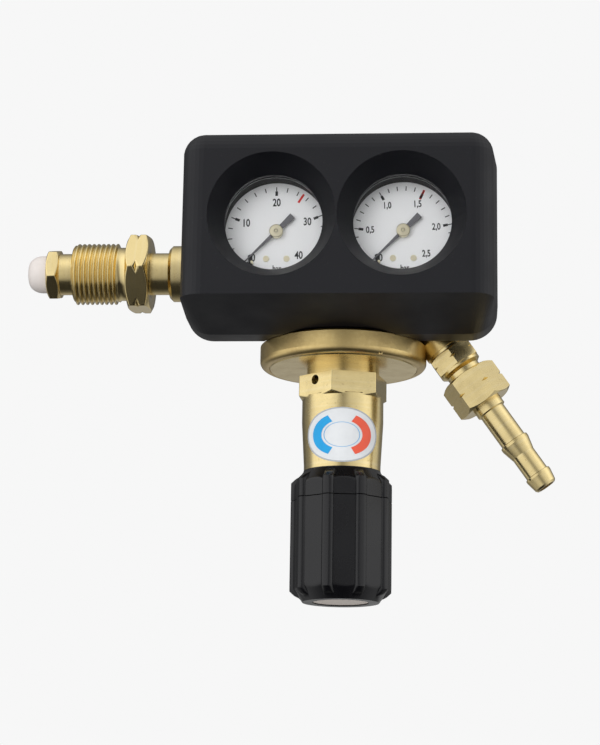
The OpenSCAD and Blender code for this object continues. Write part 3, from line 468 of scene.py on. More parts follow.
# Nodes that were turned on another axis than the inlet's
NODE_FINISH = {
    "bonnet": "turned_brass_z",
    "hub_plug": "turned_brass_z",
    "outlet_adapter": "turned_brass_outlet",
    "outlet_nut": "turned_brass_outlet",
    "hose_tail": "turned_brass_outlet",
    "outlet_washer": "turned_brass_outlet",
}
# The finishes of the dials' print and of the label
INK_BLACK = flat_ink("dial_ink_black", (0.012, 0.012, 0.014))
INK_RED = flat_ink("dial_ink_red", (0.62, 0.02, 0.012))
LABEL_WHITE = soft_polymer("label_white", (0.68, 0.70, 0.72), 0.35)
LABEL_GREY = soft_polymer("label_grey", (0.40, 0.42, 0.44), 0.35)
LABEL_BLUE = soft_polymer("label_blue", (0.004, 0.32, 0.68), 0.35)
LABEL_RED = soft_polymer("label_red", (0.76, 0.10, 0.05), 0.35)


def finish_frame():
    """Gives every CAD node the procedural finish of its material slot, or its own."""
    for name, node in frame["nodes"].items():
        for slot in node.material_slots:
            kind = slot.material.name.split(".")[0]
            if kind == "turned_brass" and "gauge" in name:
                kind = "turned_brass_y"
            slot.material = FINISHES[NODE_FINISH.get(name, kind)]


# Pieces

# Edges that are sharper than this many degrees stay sharp
CREASE = 34
THREAD_CREASE = 52


def link_piece(name, points, faces, body, material, smooth=True, crease=CREASE):
    """Adds one mesh piece, given in millimetres, that rides on a body."""
    mesh = bpy.data.meshes.new(name)
    mesh.from_pydata([tuple(Vector(point) * MM) for point in points], [], faces)
    mesh.validate()
    mesh.update()
    if smooth:
        mesh.shade_smooth()
        mesh.set_sharp_from_angle(angle=math.radians(crease))
    mesh.materials.append(material)
    piece = bpy.data.objects.new(name, mesh)
    bpy.context.scene.collection.objects.link(piece)
    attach(piece, body)
    return piece


# Each axis by its start and by its local x, y and z directions, in millimetres
AXES = {
    "inlet": ((0, 0, 0), (0, 0, -1), (0, 1, 0), (1, 0, 0)),
    "body": ((BODY_X, 0, 0), (1, 0, 0), (0, 1, 0), (0, 0, 1)),
    **{gauge: ((place, 0, GAUGE_Z), (1, 0, 0), (0, 0, 1), (0, -1, 0)) for gauge, place in GAUGE_X.items()},
}


def lathe(name, rings, angles, axis, body, material, crease=CREASE):
    """A turned piece. Each ring is a height, and a radius or one radius for each angle."""
    start, right, up, along = (np.array(part, dtype=float) for part in AXES[axis])
    around = np.outer(np.cos(angles), right) + np.outer(np.sin(angles), up)
    points = [start + height * along + np.reshape(radius, (-1, 1)) * around for height, radius in rings]
    count = len(angles)
    faces = []
    for ring in range(len(rings)):
        low = ring * count
        high = (ring + 1) % len(rings) * count
        for k in range(count):
            following = (k + 1) % count
            faces.append((low + k, low + following, high + following, high + k))
    return link_piece(name, np.concatenate(points), faces, body, material, crease=crease)


def rounded(corners):
    """The closed outline through (height, radius, rounding) corners, as rings for lathe."""
    rings = []
    for index, (height, radius, rounding) in enumerate(corners):
        corner = np.array((height, radius), dtype=float)
        before = np.array(corners[index - 1][:2]) - corner
        after = np.array(corners[(index + 1) % len(corners)][:2]) - corner
        if not rounding:
            rings.append(corner)
            continue
        reach = min(rounding, 0.45 * np.linalg.norm(before), 0.45 * np.linalg.norm(after))
        first = corner + before / np.linalg.norm(before) * reach
        last = corner + after / np.linalg.norm(after) * reach
        for t in (0.0, 0.33, 0.67, 1.0):
            rings.append(first * (1 - t) ** 2 + corner * 2 * t * (1 - t) + last * t ** 2)
    return rings


def soft_min(first, second, blend):
    """The smaller of two values, with a rounded change between them."""
    share = np.clip(0.5 + 0.5 * (second - first) / blend, 0, 1)
    return second + (first - second) * share - blend * share * (1 - share)


# How far a hexagon's corners are rounded, how soft its chamfer's edge is and how far it cuts into the flats
CORNER_BLEND = 0.25
CHAMFER_BLEND = 0.2
CHAMFER_PAST = 0.25
CHAMFER_SLOPE = math.tan(math.radians(30))
# The V-shaped notch round a hexagon's corners: its depth as a share of their height, its slope and its rings
NOTCH_SHARE = 0.55
NOTCH_SLOPE = 1.5
NOTCH_STEPS = (-2, -1.4, -0.8, -0.35, -0.1, 0, 0.1, 0.35, 0.8, 1.4, 2)


def hexagon_angles(turn, plain):
    """So many plain angles round a hexagonal piece, and more at its corners."""
    steps = np.radians((-2.4, -1.5, -0.9, -0.4, 0.0, 0.4, 0.9, 1.5, 2.4))
    corners = [math.radians(turn + 60 * k) + steps for k in range(6)]
    every = np.concatenate([np.linspace(0, 2 * math.pi, plain, endpoint=False), *corners])
    return np.unique(np.round(np.mod(every, 2 * math.pi), 5))


def hexagon_radius(angles, turn, across):
    """The radius of a hexagon with slightly rounded corners at each angle."""
    off_flat = np.mod(np.degrees(angles) - turn, 60) - 30
    here = across / 2 / np.cos(np.radians(off_flat))
    beside = across / 2 / np.cos(np.radians(60 - np.abs(off_flat)))
    return soft_min(here, beside, CORNER_BLEND)


def hexagon_rings(angles, turn, across, low, high, notch=False, high_chamfer=True):
    """Rings up the outside of a hexagon with turned chamfers, and a notch round its corners."""
    corner = across / 2 / math.cos(math.radians(30))
    cut = corner - across / 2 + CHAMFER_PAST
    drop = cut * CHAMFER_SLOPE
    flats = hexagon_radius(angles, turn, across)
    depth = (corner - across / 2) * NOTCH_SHARE
    middle = (low + high) / 2
    reach = drop * 1.15
    stops = [*np.linspace(low, low + reach, 10), *np.linspace(high - reach, high, 10)]
    if notch:
        stops += [middle + step * depth for step in NOTCH_STEPS]
    rings = []
    for height in sorted(set(stops)):
        radius = soft_min(flats, corner - cut + (height - low) * cut / drop, CHAMFER_BLEND)
        if high_chamfer:
            radius = soft_min(radius, corner - cut + (high - height) * cut / drop, CHAMFER_BLEND)
        if notch:
            radius = np.minimum(radius, corner - depth + NOTCH_SLOPE * abs(height - middle))
        rings.append((height, radius))
    return rings


def plain_rings(rings, angles):
    """The same rings, each with one radius for every angle."""
    return [(height, np.full(len(angles), radius)) for height, radius in rings]


# The inlet nut with its left-hand thread

THREAD_START, NUT_BACK = span("inlet_nut", X)
THREAD_END = 8.3
THREAD_PITCH = 1.814
THREAD_CREST = 11.455
THREAD_DEPTH = 1.16
# The flat shares of a turn at the root and at the crest, and how many rings a turn has
ROOT_FLAT = 0.04
CREST_FLAT = 0.08
TURN_RINGS = 18
# The chamfer at the thread's start, and the length in which its end fades into the neck
START_DROP = 1.2
START_SLOPE = 1.5
FADE_LENGTH = 0.8
# How far past the thread's end its rings stop, its fade is complete and the neck begins
RINGS_PAST = 0.6
FADE_PAST = 0.7
NECK_PAST = 0.85
NUT_NECK = 10.0
NUT_FACE = 12.3
NUT_ACROSS = 27.0
NUT_BORE = 7.92
# The bore's wider mouths at the front and at the back, and how long they are
FRONT_MOUTH = 8.3
BACK_MOUTH = 8.5
MOUTH_LENGTH = 0.4
# The turns of the hexagons, in degrees
INLET_NUT_TURN = 33.5
NOSE_TURN = 47.5


def thread_rings(angles):
    """Rings up the left-hand inlet thread, with its rising start and its fading end."""
    rings = []
    for height in np.arange(THREAD_START, THREAD_END + RINGS_PAST, THREAD_PITCH / TURN_RINGS):
        phase = np.mod(height / THREAD_PITCH + angles / (2 * math.pi), 1)
        wave = (np.abs(2 * phase - 1) - ROOT_FLAT) / (1 - ROOT_FLAT - CREST_FLAT)
        shape = 0.5 - 0.5 * np.cos(math.pi * np.clip(wave, 0, 1))
        radius = THREAD_CREST - THREAD_DEPTH * (1 - shape)
        start = THREAD_CREST - START_DROP + (height - THREAD_START) * START_SLOPE
        fade = np.clip((THREAD_END + FADE_PAST - height) / FADE_LENGTH, 0, 1)
        radius = NUT_NECK + (np.minimum(radius, start) - NUT_NECK) * fade
        rings.append((height, radius))
    return rings


def add_inlet_nut():
    """The inlet nut, with true thread turns, in place of the CAD's plain cylinder."""
    angles = hexagon_angles(INLET_NUT_TURN, 216)
    neck = [(THREAD_END + NECK_PAST, NUT_NECK), (NUT_FACE - 0.3, NUT_NECK), (NUT_FACE, NUT_NECK + 0.3)]
    bore = [(NUT_BACK, BACK_MOUTH), (NUT_BACK - MOUTH_LENGTH, NUT_BORE),
            (THREAD_START + MOUTH_LENGTH, NUT_BORE), (THREAD_START, FRONT_MOUTH)]
    rings = thread_rings(angles) + plain_rings(neck, angles)
    rings += hexagon_rings(angles, INLET_NUT_TURN, NUT_ACROSS, NUT_FACE, NUT_BACK, notch=True)
    rings += plain_rings(bore, angles)
    nut = lathe("inlet_nut_detail", rings, angles, "inlet", "inlet_nut",
                FINISHES["thread_brass"], THREAD_CREASE)
    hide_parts("inlet_nut")


# The hexagonal nose and its soft seal

NOSE_END, NOSE_BACK = span("inlet_nose", X)
SEAL_TIP, SEAL_SEAT = span("nose_seal", X)
NOSE_ACROSS = 17.6
NOSE_HEX_BACK = -13.5
NOSE_NECK = 7.75
NOSE_EDGE = 0.15
NOSE_BORE = 2.6
NOSE_POCKET = 4.8


def add_nose():
    """The hexagonal nose and its neck, with rounded edges, its bore and the pocket for the seal."""
    angles = hexagon_angles(NOSE_TURN, 96)
    rings = hexagon_rings(angles, NOSE_TURN, NOSE_ACROSS, NOSE_END, NOSE_HEX_BACK)
    neck = [(NOSE_HEX_BACK + 0.05, NOSE_NECK + NOSE_EDGE), (NOSE_HEX_BACK + 0.2, NOSE_NECK),
            (NOSE_BACK - 0.05, NOSE_NECK), (NOSE_BACK, NOSE_NECK - NOSE_EDGE)]
    bore = [(NOSE_BACK, NOSE_BORE), (SEAL_SEAT, NOSE_BORE),
            (SEAL_SEAT, NOSE_POCKET), (NOSE_END, NOSE_POCKET)]
    rings += plain_rings(neck + bore, angles)
    nose = lathe("inlet_nose_detail", rings, angles, "inlet", "root",
                 FINISHES["turned_brass"])
    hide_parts("inlet_nose")


SEAL_OUTER = 7.0
SEAL_FACE = 3.2
SEAL_DOME = 5.2
SEAL_STEM = 4.7
SEAL_BACK = SEAL_SEAT - 0.1


def add_nose_seal():
    """The soft white seal on the nose, with a domed end, its bore and the stem in the nose's pocket."""
    angles = np.linspace(0, 2 * math.pi, 72, endpoint=False)
    wider = SEAL_OUTER - SEAL_FACE
    dome = [(SEAL_TIP + SEAL_DOME * (1 - math.cos(turn)), SEAL_FACE + wider * math.sin(turn))
            for turn in np.linspace(0, math.pi / 2, 14)]
    rings = [(SEAL_TIP + 0.4, NOSE_BORE), (SEAL_TIP + 0.08, NOSE_BORE + 0.2), *dome, (NOSE_END, SEAL_OUTER),
             (NOSE_END, SEAL_STEM), (SEAL_BACK, SEAL_STEM), (SEAL_BACK, NOSE_BORE)]
    seal = lathe("nose_seal_detail", plain_rings(rings, angles), angles, "inlet", "root",
                 FINISHES["white_nylon"])
    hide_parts("nose_seal")


# The bonnet, with its hexagon, its turned chamfer and its vent

BONNET_LOW, BONNET_HIGH = span("bonnet", Z)
BONNET_FLANGE = span("bonnet", Y)[1]
BONNET_FACE = -37.3
BONNET_EDGE = 0.4
# The hexagon's turn in degrees, its width across flats and its two ends
BONNET_TURN = 18.6
BONNET_ACROSS = 29.0
HEX_LOW = -49.3
HEX_HIGH = -40.5
# The cylinder below the hexagon, the taper under it and the end inside the knob, with its groove
BONNET_RADIUS = 14.9
BONNET_END = 14.0
TAPER_HIGH = -57.3
TAPER_LOW = -73.3
GROOVE_HIGH = -79.6
GROOVE_LOW = -81.9
GROOVE_RADIUS = 13.4
# The neck over the hexagon, the cup under the diaphragm, the spring's chamber and the screw's bore
BONNET_NECK = 13.3
CUP_RADIUS = 18.0
CUP_FLOOR = -36.4
CHAMBER_RADIUS = 10.7
CHAMBER_FLOOR = -80.0
SCREW_BORE = 6.06
# The vent's height and radius, its turn from the hexagon's in degrees, and its drill's start and depth
VENT_Z = -43.0
VENT_RADIUS = 1.8
VENT_TURN = 210
VENT_START = 8.0
VENT_DEPTH = 12.0


def drill(piece, start, direction, radius, depth):
    """Cuts one round hole, given in millimetres, into a piece."""
    shape = bmesh.new()
    place = Vector(start) + Vector(direction).normalized() * depth / 2
    aim = Vector(direction).to_track_quat("Z", "Y").to_matrix().to_4x4()
    bmesh.ops.create_cone(shape, cap_ends=True, segments=40, radius1=radius * MM, radius2=radius * MM,
                          depth=depth * MM, matrix=Matrix.Translation(place * MM) @ aim)
    cutter_mesh = bpy.data.meshes.new("cutter")
    shape.to_mesh(cutter_mesh)
    shape.free()
    cutter = bpy.data.objects.new("cutter", cutter_mesh)
    bpy.context.scene.collection.objects.link(cutter)
    hole = piece.modifiers.new("hole", "BOOLEAN")
    hole.object = cutter
    hole.solver = "EXACT"
    drilled = bpy.data.meshes.new_from_object(piece.evaluated_get(bpy.context.evaluated_depsgraph_get()))
    piece.modifiers.remove(hole)
    piece.data = drilled
    drilled.set_sharp_from_angle(angle=math.radians(CREASE))
    bpy.data.objects.remove(cutter)
    bpy.data.meshes.remove(cutter_mesh)


def add_bonnet():
    """The bonnet from the end inside the knob up to its flange, and down through its chamber."""
    angles = hexagon_angles(BONNET_TURN, 144)
    end = [(BONNET_LOW, SCREW_BORE), (BONNET_LOW, GROOVE_RADIUS), (BONNET_LOW + 0.6, BONNET_END)]
    groove = [(GROOVE_LOW, BONNET_END), (GROOVE_LOW, GROOVE_RADIUS),
              (GROOVE_HIGH, GROOVE_RADIUS), (GROOVE_HIGH, BONNET_END)]
    taper = [(TAPER_LOW, BONNET_END), (TAPER_HIGH, BONNET_RADIUS), (HEX_LOW - 0.1, BONNET_RADIUS)]
    rings = plain_rings(end + groove + taper, angles)
    hexagon = hexagon_rings(angles, BONNET_TURN, BONNET_ACROSS, HEX_LOW, HEX_HIGH, high_chamfer=False)
    shoulder = HEX_LOW + 1
    for height, radius in hexagon:
        if height < shoulder:
            radius = np.maximum(radius, BONNET_RADIUS)
        rings.append((height, radius))
    neck = [(HEX_HIGH + 0.01, BONNET_NECK + 0.2), (HEX_HIGH + 0.3, BONNET_NECK), (BONNET_FACE, BONNET_NECK)]
    flange = [(BONNET_FACE, BONNET_FLANGE - BONNET_EDGE), (BONNET_FACE + BONNET_EDGE, BONNET_FLANGE),
              (BONNET_HIGH, BONNET_FLANGE)]
    bore = [(BONNET_HIGH, CUP_RADIUS), (CUP_FLOOR, CUP_RADIUS), (CUP_FLOOR, CHAMBER_RADIUS),
            (CHAMBER_FLOOR, CHAMBER_RADIUS), (CHAMBER_FLOOR, SCREW_BORE)]
    rings += plain_rings(neck + flange + bore, angles)
    bonnet = lathe("bonnet_detail", rings, angles, "body", "root",
                   FINISHES["turned_brass_z"])
    vent = math.radians(VENT_TURN + BONNET_TURN)
    start = (BODY_X + VENT_START * math.cos(vent), VENT_START * math.sin(vent), VENT_Z)
    drill(bonnet, start, (math.cos(vent), math.sin(vent), 0), VENT_RADIUS, VENT_DEPTH)
    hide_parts("bonnet")


# The label on the bonnet, with plain bands and no lettering

# The label's middle, half its height, and half its width and its turn in degrees round the bonnet
LABEL_Z = -64.0
LABEL_HIGH = 10.0
LABEL_HALF_ANGLE = 58.3
LABEL_TURN = 272.2
# How far its ground and its bands lie over the bonnet
LABEL_LIFT = 0.10
BAND_LIFT = 0.16
# How many points each part has along its bow and across it
LABEL_ALONG = 49
LABEL_ACROSS = 6


def bonnet_radius(height):
    """The radius of the bonnet's cylinder and taper at a height."""
    share = max(TAPER_HIGH - height, 0) / (TAPER_HIGH - TAPER_LOW)
    return BONNET_RADIUS - (BONNET_RADIUS - BONNET_END) * share


def label_part(name, first, last, inner, outer, lift, material):
    """A patch of the oval label between two turns and two shares of its size, wrapped on the bonnet."""
    points = []
    faces = []
    turns = np.linspace(math.radians(first), math.radians(last), LABEL_ALONG)
    for share in np.linspace(inner, outer, LABEL_ACROSS):
        for turn in turns:
            height = LABEL_Z + LABEL_HIGH * share * math.sin(turn)
            angle = math.radians(LABEL_TURN + LABEL_HALF_ANGLE * share * math.cos(turn))
            radius = bonnet_radius(height) + lift
            points.append((BODY_X + radius * math.cos(angle), radius * math.sin(angle), height))
    for row in range(LABEL_ACROSS - 1):
        for k in range(LABEL_ALONG - 1):
            low = row * LABEL_ALONG + k
            faces.append((low, low + LABEL_ALONG, low + LABEL_ALONG + 1, low + 1))
    link_piece(name, points, faces, "root", material)


def add_label():
    """A white oval with a grey rim, a thin blue line, a blue band and a red band."""
    label_part("label_rim", 0, 360, 0.95, 1.0, LABEL_LIFT, LABEL_GREY)
    label_part("label_ground", 0, 360, 0.0, 0.95, LABEL_LIFT, LABEL_WHITE)
    label_part("label_line", 0, 360, 0.44, 0.455, BAND_LIFT, LABEL_BLUE)
    label_part("label_blue", 116, 244, 0.52, 0.78, BAND_LIFT, LABEL_BLUE)
    label_part("label_red", -64, 64, 0.52, 0.78, BAND_LIFT, LABEL_RED)


# The knob, with smooth cones behind its ribs

KNOB_TOP = span("knob_ring", Z)[1]
KNOB_LOW = span("knob", Z)[0]
# The seam between the two mouldings, half its gap, and its chamfer's length and depth
KNOB_SEAM = -86.0
SEAM_GAP = 0.06
SEAM_LENGTH = 0.12
SEAM_DEPTH = 0.15
# The ribs' number, the turn of one of them in degrees, half their width and the angle from a rib to a flat
KNOB_RIBS = 9
KNOB_RIB_TURN = 256.6
KNOB_RIB_HALF = 2.35
HALF_PITCH = 180 / KNOB_RIBS
# How square a rib's section is, and how steep its sides are
RIB_SQUARE = 2.6
RIB_STEEP = 0.6
# The radii of the flats, the ribs and the cones' ends, and the cones' length
KNOB_FLAT = 16.9
KNOB_OUTER = 18.68
CONE_END = 13.9
CONE_LENGTH = 4.4
CONE_BLEND = 0.25
# A rib's nose: where it starts from the knob's end, its length, and the cone that limits its height
NOSE_START = 1.65
NOSE_LENGTH = 0.9
NOSE_RADIUS = 14.3
NOSE_SLOPE = 1.07
KNOB_STEPS = (0, 0.3, 1.0, 1.7, 1.95, 2.05, 2.2, 2.5, 3.0, 3.6, 4.1, 4.5, 5.0, 6.0)


def knob_radius(angles, height):
    """The knob's radius at each angle: flats, ribs with rounded noses, and a cone at both ends."""
    rib_off = np.mod(np.degrees(angles) - KNOB_RIB_TURN + HALF_PITCH, 2 * HALF_PITCH) - HALF_PITCH
    flat = KNOB_FLAT / np.cos(np.radians(HALF_PITCH - np.abs(rib_off)))
    across = np.abs(KNOB_OUTER * np.sin(np.radians(rib_off))) / KNOB_RIB_HALF
    raised = (1 - np.clip(across, 0, 1) ** RIB_SQUARE) ** RIB_STEEP
    into = max(min(KNOB_TOP - height, height - KNOB_LOW), 0)
    cone = CONE_END + into * (KNOB_FLAT - CONE_END) / CONE_LENGTH
    nose = min(max((into - NOSE_START) / NOSE_LENGTH, 0), 1) ** 0.5
    low = soft_min(flat, cone, CONE_BLEND)
    top = min(KNOB_OUTER, NOSE_RADIUS + into * NOSE_SLOPE)
    return low + np.clip(top - low, 0, None) * raised * nose


def knob_heights(low, high):
    """Heights up the knob, closer together at its ends."""
    heights = {low, low + SEAM_LENGTH, high - SEAM_LENGTH, high}
    heights.update(KNOB_LOW + step for step in KNOB_STEPS)
    heights.update(KNOB_TOP - step for step in KNOB_STEPS)
    return sorted(height for height in heights if low <= height <= high)


def knob_rings(angles, low, high):
    """Rings up the knob's outside between two heights, with a small chamfer at the seam."""
    rings = []
    for height in knob_heights(low, high):
        radius = knob_radius(angles, height)
        if height in (low, high) and abs(height - KNOB_SEAM) < 2 * SEAM_GAP:
            radius = radius - SEAM_DEPTH
        rings.append((height, radius))
    return rings


# The ring's bore, and the cap's: the mouth over the bonnet's end, the screw's chamber and the disc's recess
RING_BORE = 14.1
CAP_MOUTH = 15.0
MOUTH_END = -89.0
SCREW_CHAMBER = 8.0
CHAMBER_END = -118.0
PIN_BORE = 0.5
RECESS_RADIUS = 10.2
RECESS_EDGE = 0.1
RECESS_FLOOR = span("knob_disc", Z)[1]


def add_knob():
    """The knob's two mouldings, the ring above the seam and the cap below it."""
    angles = np.linspace(0, 2 * math.pi, 540, endpoint=False)
    ring_low = KNOB_SEAM + SEAM_GAP
    ring = knob_rings(angles, ring_low, KNOB_TOP)
    ring += plain_rings([(KNOB_TOP, RING_BORE), (ring_low, RING_BORE)], angles)
    upper = lathe("knob_ring_detail", ring, angles, "body", "knob",
                  FINISHES["black_knob_plastic"])
    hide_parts("knob_ring")
    cap_high = KNOB_SEAM - SEAM_GAP
    bore = [(cap_high, CAP_MOUTH), (MOUTH_END, CAP_MOUTH), (MOUTH_END, SCREW_CHAMBER),
            (CHAMBER_END, SCREW_CHAMBER), (CHAMBER_END, PIN_BORE), (RECESS_FLOOR, PIN_BORE)]
    recess = [(RECESS_FLOOR, RECESS_RADIUS), (KNOB_LOW + RECESS_EDGE, RECESS_RADIUS),
              (KNOB_LOW, RECESS_RADIUS + RECESS_EDGE)]
    cap = knob_rings(angles, KNOB_LOW, cap_high) + plain_rings(bore + recess, angles)
    lower = lathe("knob_detail", cap, angles, "body", "knob",
                  FINISHES["black_knob_plastic"])
    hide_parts("knob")


# The springs

BUTTON_TRAVEL = joint_travel("button_slide")
PLATE_TRAVEL = joint_travel("plate_lift")
WIRE_SIDES = 10
TURN_STEPS = 32
# Each spring by its wire's thickness, its turns, its joint, and its lower and upper end's travel
SPRINGS = {
    "adjusting_spring": (2.6, 6, "button_slide", BUTTON_TRAVEL, PLATE_TRAVEL),
    "valve_spring": (0.7, 7, "poppet_lift", PLATE_TRAVEL, 0.0),
}


def add_spring(node, wire, turns, joint, low_travel, high_travel):
    """A round-wire spring in the place of its node. Its joint and its ends' travel are not used."""
    low, high = (np.array(corner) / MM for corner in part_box(node))
    middle = (low + high) / 2
    radius = (high[0] - low[0]) / 2 - wire / 2
    steps = np.linspace(0, 1, int(turns * TURN_STEPS) + 1)
    rise = high[2] - low[2] - wire
    points = []
    for step in steps:
        turn = 2 * math.pi * turns * step
        outward = np.array((math.cos(turn), math.sin(turn), 0))
        centre = np.array((middle[0], middle[1], low[2] + wire / 2 + rise * step)) + radius * outward
        for side in range(WIRE_SIDES):
            tilt = 2 * math.pi * side / WIRE_SIDES
            upward = np.array((0, 0, math.sin(tilt)))
            points.append(centre + wire / 2 * (math.cos(tilt) * outward + upward))
    faces = [tuple(reversed(range(WIRE_SIDES))), tuple(range(len(points) - WIRE_SIDES, len(points)))]
    for ring in range(len(steps) - 1):
        for side in range(WIRE_SIDES):
            first = ring * WIRE_SIDES + side
            second = ring * WIRE_SIDES + (side + 1) % WIRE_SIDES
            faces.append((first, first + WIRE_SIDES, second + WIRE_SIDES, second))
    spring = link_piece(f"{node}_detail", points, faces, "root", FINISHES["steel"])
    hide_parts(node)
    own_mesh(spring)


# The gauges' small turned pieces, as (height, radius) outlines round each pointer's axis

# The black sleeve is the case's dark inner wall, and it also stands in for the shade that falls on that
# wall: partly painted shade
SHADE_SLEEVE = [(31.0, 18.9), (37.4, 18.9), (37.4, 18.6), (31.0, 18.6)]
# A thin steel ring at the lens's edge that stands in for the bright glint on that edge: a painted highlight
LENS_GLINT_EDGE = [(39.55, 17.95), (39.8, 17.95), (39.8, 17.8), (39.55, 17.8)]
# The hub cap's corners also have a rounding: its side, its rim, a turned ring and the arbor's end
HUB_CAP = [(31.45, 2.3, 0), (33.45, 2.45, 0.2), (33.62, 2.2, 0.15), (33.62, 0.75, 0), (33.5, 0.7, 0),
           (33.5, 0.6, 0), (33.66, 0.5, 0.1), (33.66, 0.05, 0), (31.45, 0.05, 0)]


def add_pointer_hub(gauge):
    """The gold cap with a turned ring on the end of a pointer's arbor."""
    angles = np.linspace(0, 2 * math.pi, 48, endpoint=False)
    lathe(f"{gauge}_hub_cap", rounded(HUB_CAP), angles, gauge, f"{gauge}_pointer",
          FINISHES["turned_brass_y"])


def add_lens_edge(gauge):
    """The black sleeve between dial and lens, partly the case's dark wall and partly painted shade, and a
    steel ring at the lens's edge that paints its bright glint.
    """
    angles = np.linspace(0, 2 * math.pi, 96, endpoint=False)
    lathe(f"{gauge}_sleeve", plain_rings(SHADE_SLEEVE, angles), angles, gauge, "root",
          FINISHES["black_rubber"])
    lathe(f"{gauge}_lens_edge", plain_rings(LENS_GLINT_EDGE, angles), angles, gauge, "root",
          FINISHES["steel"])


# Dial print

# How far the print lies over the dial, its thickness, and how far it sits below the dial's middle
PRINT_LIFT = 0.05
PRINT_THICK = 0.04
PRINT_DROP = 0.55
# The angle of the scale's zero and its sweep, in degrees
SCALE_START = 225
SCALE_SWEEP = 270
# The ends and widths of the fine and the broad ticks and of the red mark
TICK_INNER = 16.1
TICK_OUTER = 17.75
TICK_WIDTH = 0.35
MAJOR_INNER = 14.5
MAJOR_WIDTH = 0.95
MARK_INNER = 14.1
MARK_WIDTH = 0.8
TICK_OVERLAP = 0.1
# The numbers' place, height and narrowing, how much closer in the last one is, and how much bolder all are
NUMBER_RADIUS = 12.0
NUMBER_HEIGHT = 2.95
NUMBER_NARROW = 0.74
LAST_CLOSER = 0.8
NUMBER_BOLDER = 0.022
# The unit's place below the middle, and the size of its type
UNIT_DROP = 12.7
UNIT_SIZE = 3.2
# The black stop below the pointer's tip together with its painted shadow on the dial, as one outline in the
# dial's plane, and its height over the dial
STOP_AND_SHADOW_OUTLINE = [(-10.2, -8.2), (-9.5, -13.4), (-8.3, -13.4), (-8.6, -8.6), (-9.3, -7.7)]
STOP_HIGH = 1.2
# Each scale's last value, its steps, the value of its red mark, its turn in degrees and its decimals
DIALS = {
    "left_gauge": {"top": 40, "minor": 2, "major": 10, "mark": 25, "roll": 1.0, "decimals": 0},
    "right_gauge": {"top": 2.5, "minor": 0.1, "major": 0.5, "mark": 1.5, "roll": 2.4, "decimals": 1},
}


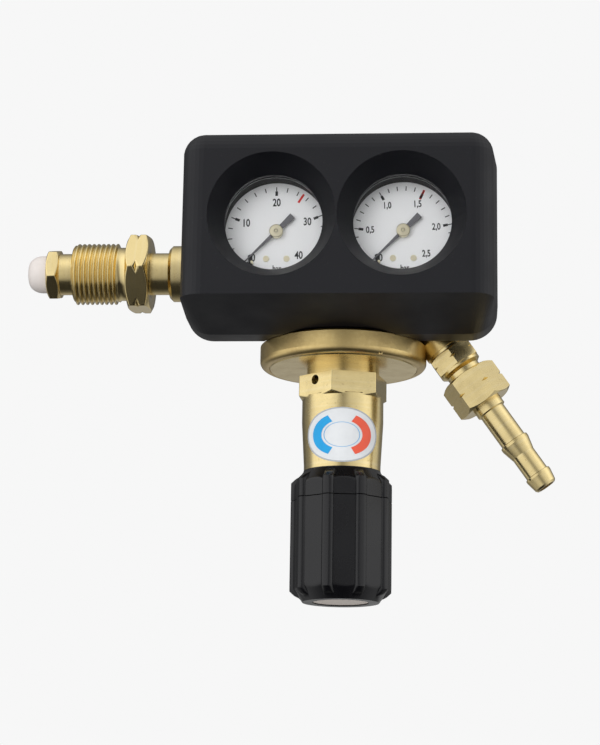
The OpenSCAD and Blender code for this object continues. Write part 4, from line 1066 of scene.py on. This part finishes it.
class Print:
    """Thin raised print on one dial, gathered as plates in the dial's own plane."""

    def __init__(self, gauge, roll, thick=PRINT_THICK):
        self.gauge = gauge
        self.roll = math.radians(roll)
        self.thick = thick
        self.points = []
        self.faces = []

    def place(self, across, up, lift):
        """A point of the dial's plane, rolled with the dial, in the object's frame."""
        turned_across = across * math.cos(self.roll) - up * math.sin(self.roll)
        turned_up = across * math.sin(self.roll) + up * math.cos(self.roll)
        return GAUGE_X[self.gauge] + turned_across, -(DIAL_FRONT + lift), GAUGE_Z + turned_up - PRINT_DROP

    def plate(self, outline):
        """A raised plate inside an anticlockwise outline."""
        first = len(self.points)
        count = len(outline)
        self.points += [self.place(across, up, PRINT_LIFT + self.thick) for across, up in outline]
        self.points += [self.place(across, up, PRINT_LIFT) for across, up in outline]
        self.faces.append([first + k for k in range(count)])
        self.faces.append([first + count + k for k in reversed(range(count))])
        for k in range(count):
            following = (k + 1) % count
            self.faces.append([first + k, first + count + k, first + count + following, first + following])

    def bar(self, angle, inner, outer, width):
        """A straight scale bar that points at the centre."""
        along = Vector((math.cos(angle), math.sin(angle)))
        beside = Vector((-along.y, along.x)) * width / 2
        self.plate([tuple(along * inner - beside), tuple(along * outer - beside),
                    tuple(along * outer + beside), tuple(along * inner + beside)])

    def text(self, characters, across, up, height, measured=True):
        """Upright characters round a point. The height is their own, or else the size of the type."""
        curve = bpy.data.curves.new("lettering", "FONT")
        curve.body = characters
        curve.size = 1.0
        curve.align_x = "CENTER"
        curve.align_y = "CENTER"
        curve.resolution_u = 4
        curve.extrude = PRINT_THICK / 2
        curve.offset = NUMBER_BOLDER
        lettering = bpy.data.objects.new("lettering", curve)
        mesh = bpy.data.meshes.new_from_object(lettering)
        low = min(vertex.co.y for vertex in mesh.vertices)
        high = max(vertex.co.y for vertex in mesh.vertices)
        size = height / (high - low) if measured else height
        first = len(self.points)
        for vertex in mesh.vertices:
            lift = PRINT_LIFT + PRINT_THICK / 2 + math.copysign(PRINT_THICK / 2, vertex.co.z)
            beside = vertex.co.x * size * NUMBER_NARROW
            above = (vertex.co.y - (low + high) / 2) * size
            self.points.append(self.place(across + beside, up + above, lift))
        self.faces += [[first + corner for corner in face.vertices] for face in mesh.polygons]
        bpy.data.objects.remove(lettering)
        bpy.data.curves.remove(curve)
        bpy.data.meshes.remove(mesh)

    def link(self, name, ink):
        """Adds what was gathered as one piece on the dial."""
        link_piece(f"{self.gauge}_{name}", self.points, self.faces, "root", ink,
                   smooth=False)


def print_dial(gauge, dial):
    """Scale, numbers and unit of one dial in black, the black stop with its painted shadow, and the red
    mark.
    """
    def angle_of(value):
        return math.radians(SCALE_START - SCALE_SWEEP * value / dial["top"])

    black = Print(gauge, dial["roll"])
    steps = round(dial["top"] / dial["minor"])
    per_major = round(dial["major"] / dial["minor"])
    for step in range(steps + 1):
        value = step * dial["minor"]
        angle = angle_of(value)
        black.bar(angle, TICK_INNER, TICK_OUTER, TICK_WIDTH)
        if step % per_major:
            continue
        black.bar(angle, MAJOR_INNER, TICK_INNER + TICK_OVERLAP, MAJOR_WIDTH)
        number = f"{value:.{dial['decimals']}f}".replace(".", ",") if value else "0"
        radius = NUMBER_RADIUS - (LAST_CLOSER if step == steps else 0)
        black.text(number, radius * math.cos(angle), radius * math.sin(angle), NUMBER_HEIGHT)
    black.text("bar", 0, -UNIT_DROP, UNIT_SIZE, measured=False)
    black.link("print", INK_BLACK)
    # One black plate for the stop pin and for its shadow on the dial, which is painted shadow
    stop = Print(gauge, 0, STOP_HIGH)
    stop.plate(STOP_AND_SHADOW_OUTLINE)
    stop.link("stop", INK_BLACK)
    red = Print(gauge, dial["roll"])
    red.bar(angle_of(dial["mark"]), MARK_INNER, TICK_OUTER + TICK_OVERLAP, MARK_WIDTH)
    red.link("mark", INK_RED)


finish_frame()
add_inlet_nut()
add_nose()
add_nose_seal()
add_bonnet()
add_label()
add_knob()
for spring_node, spring_values in SPRINGS.items():
    add_spring(spring_node, *spring_values)
for gauge_name, dial_values in DIALS.items():
    print_dial(gauge_name, dial_values)
    add_pointer_hub(gauge_name)
    add_lens_edge(gauge_name)
bpy.context.scene.view_settings.view_transform = "Standard"
add_camera()
add_world()
add_floor()
for lamp_name, lamp_values in LAMPS.items():
    add_soft_box(lamp_name, *lamp_values)
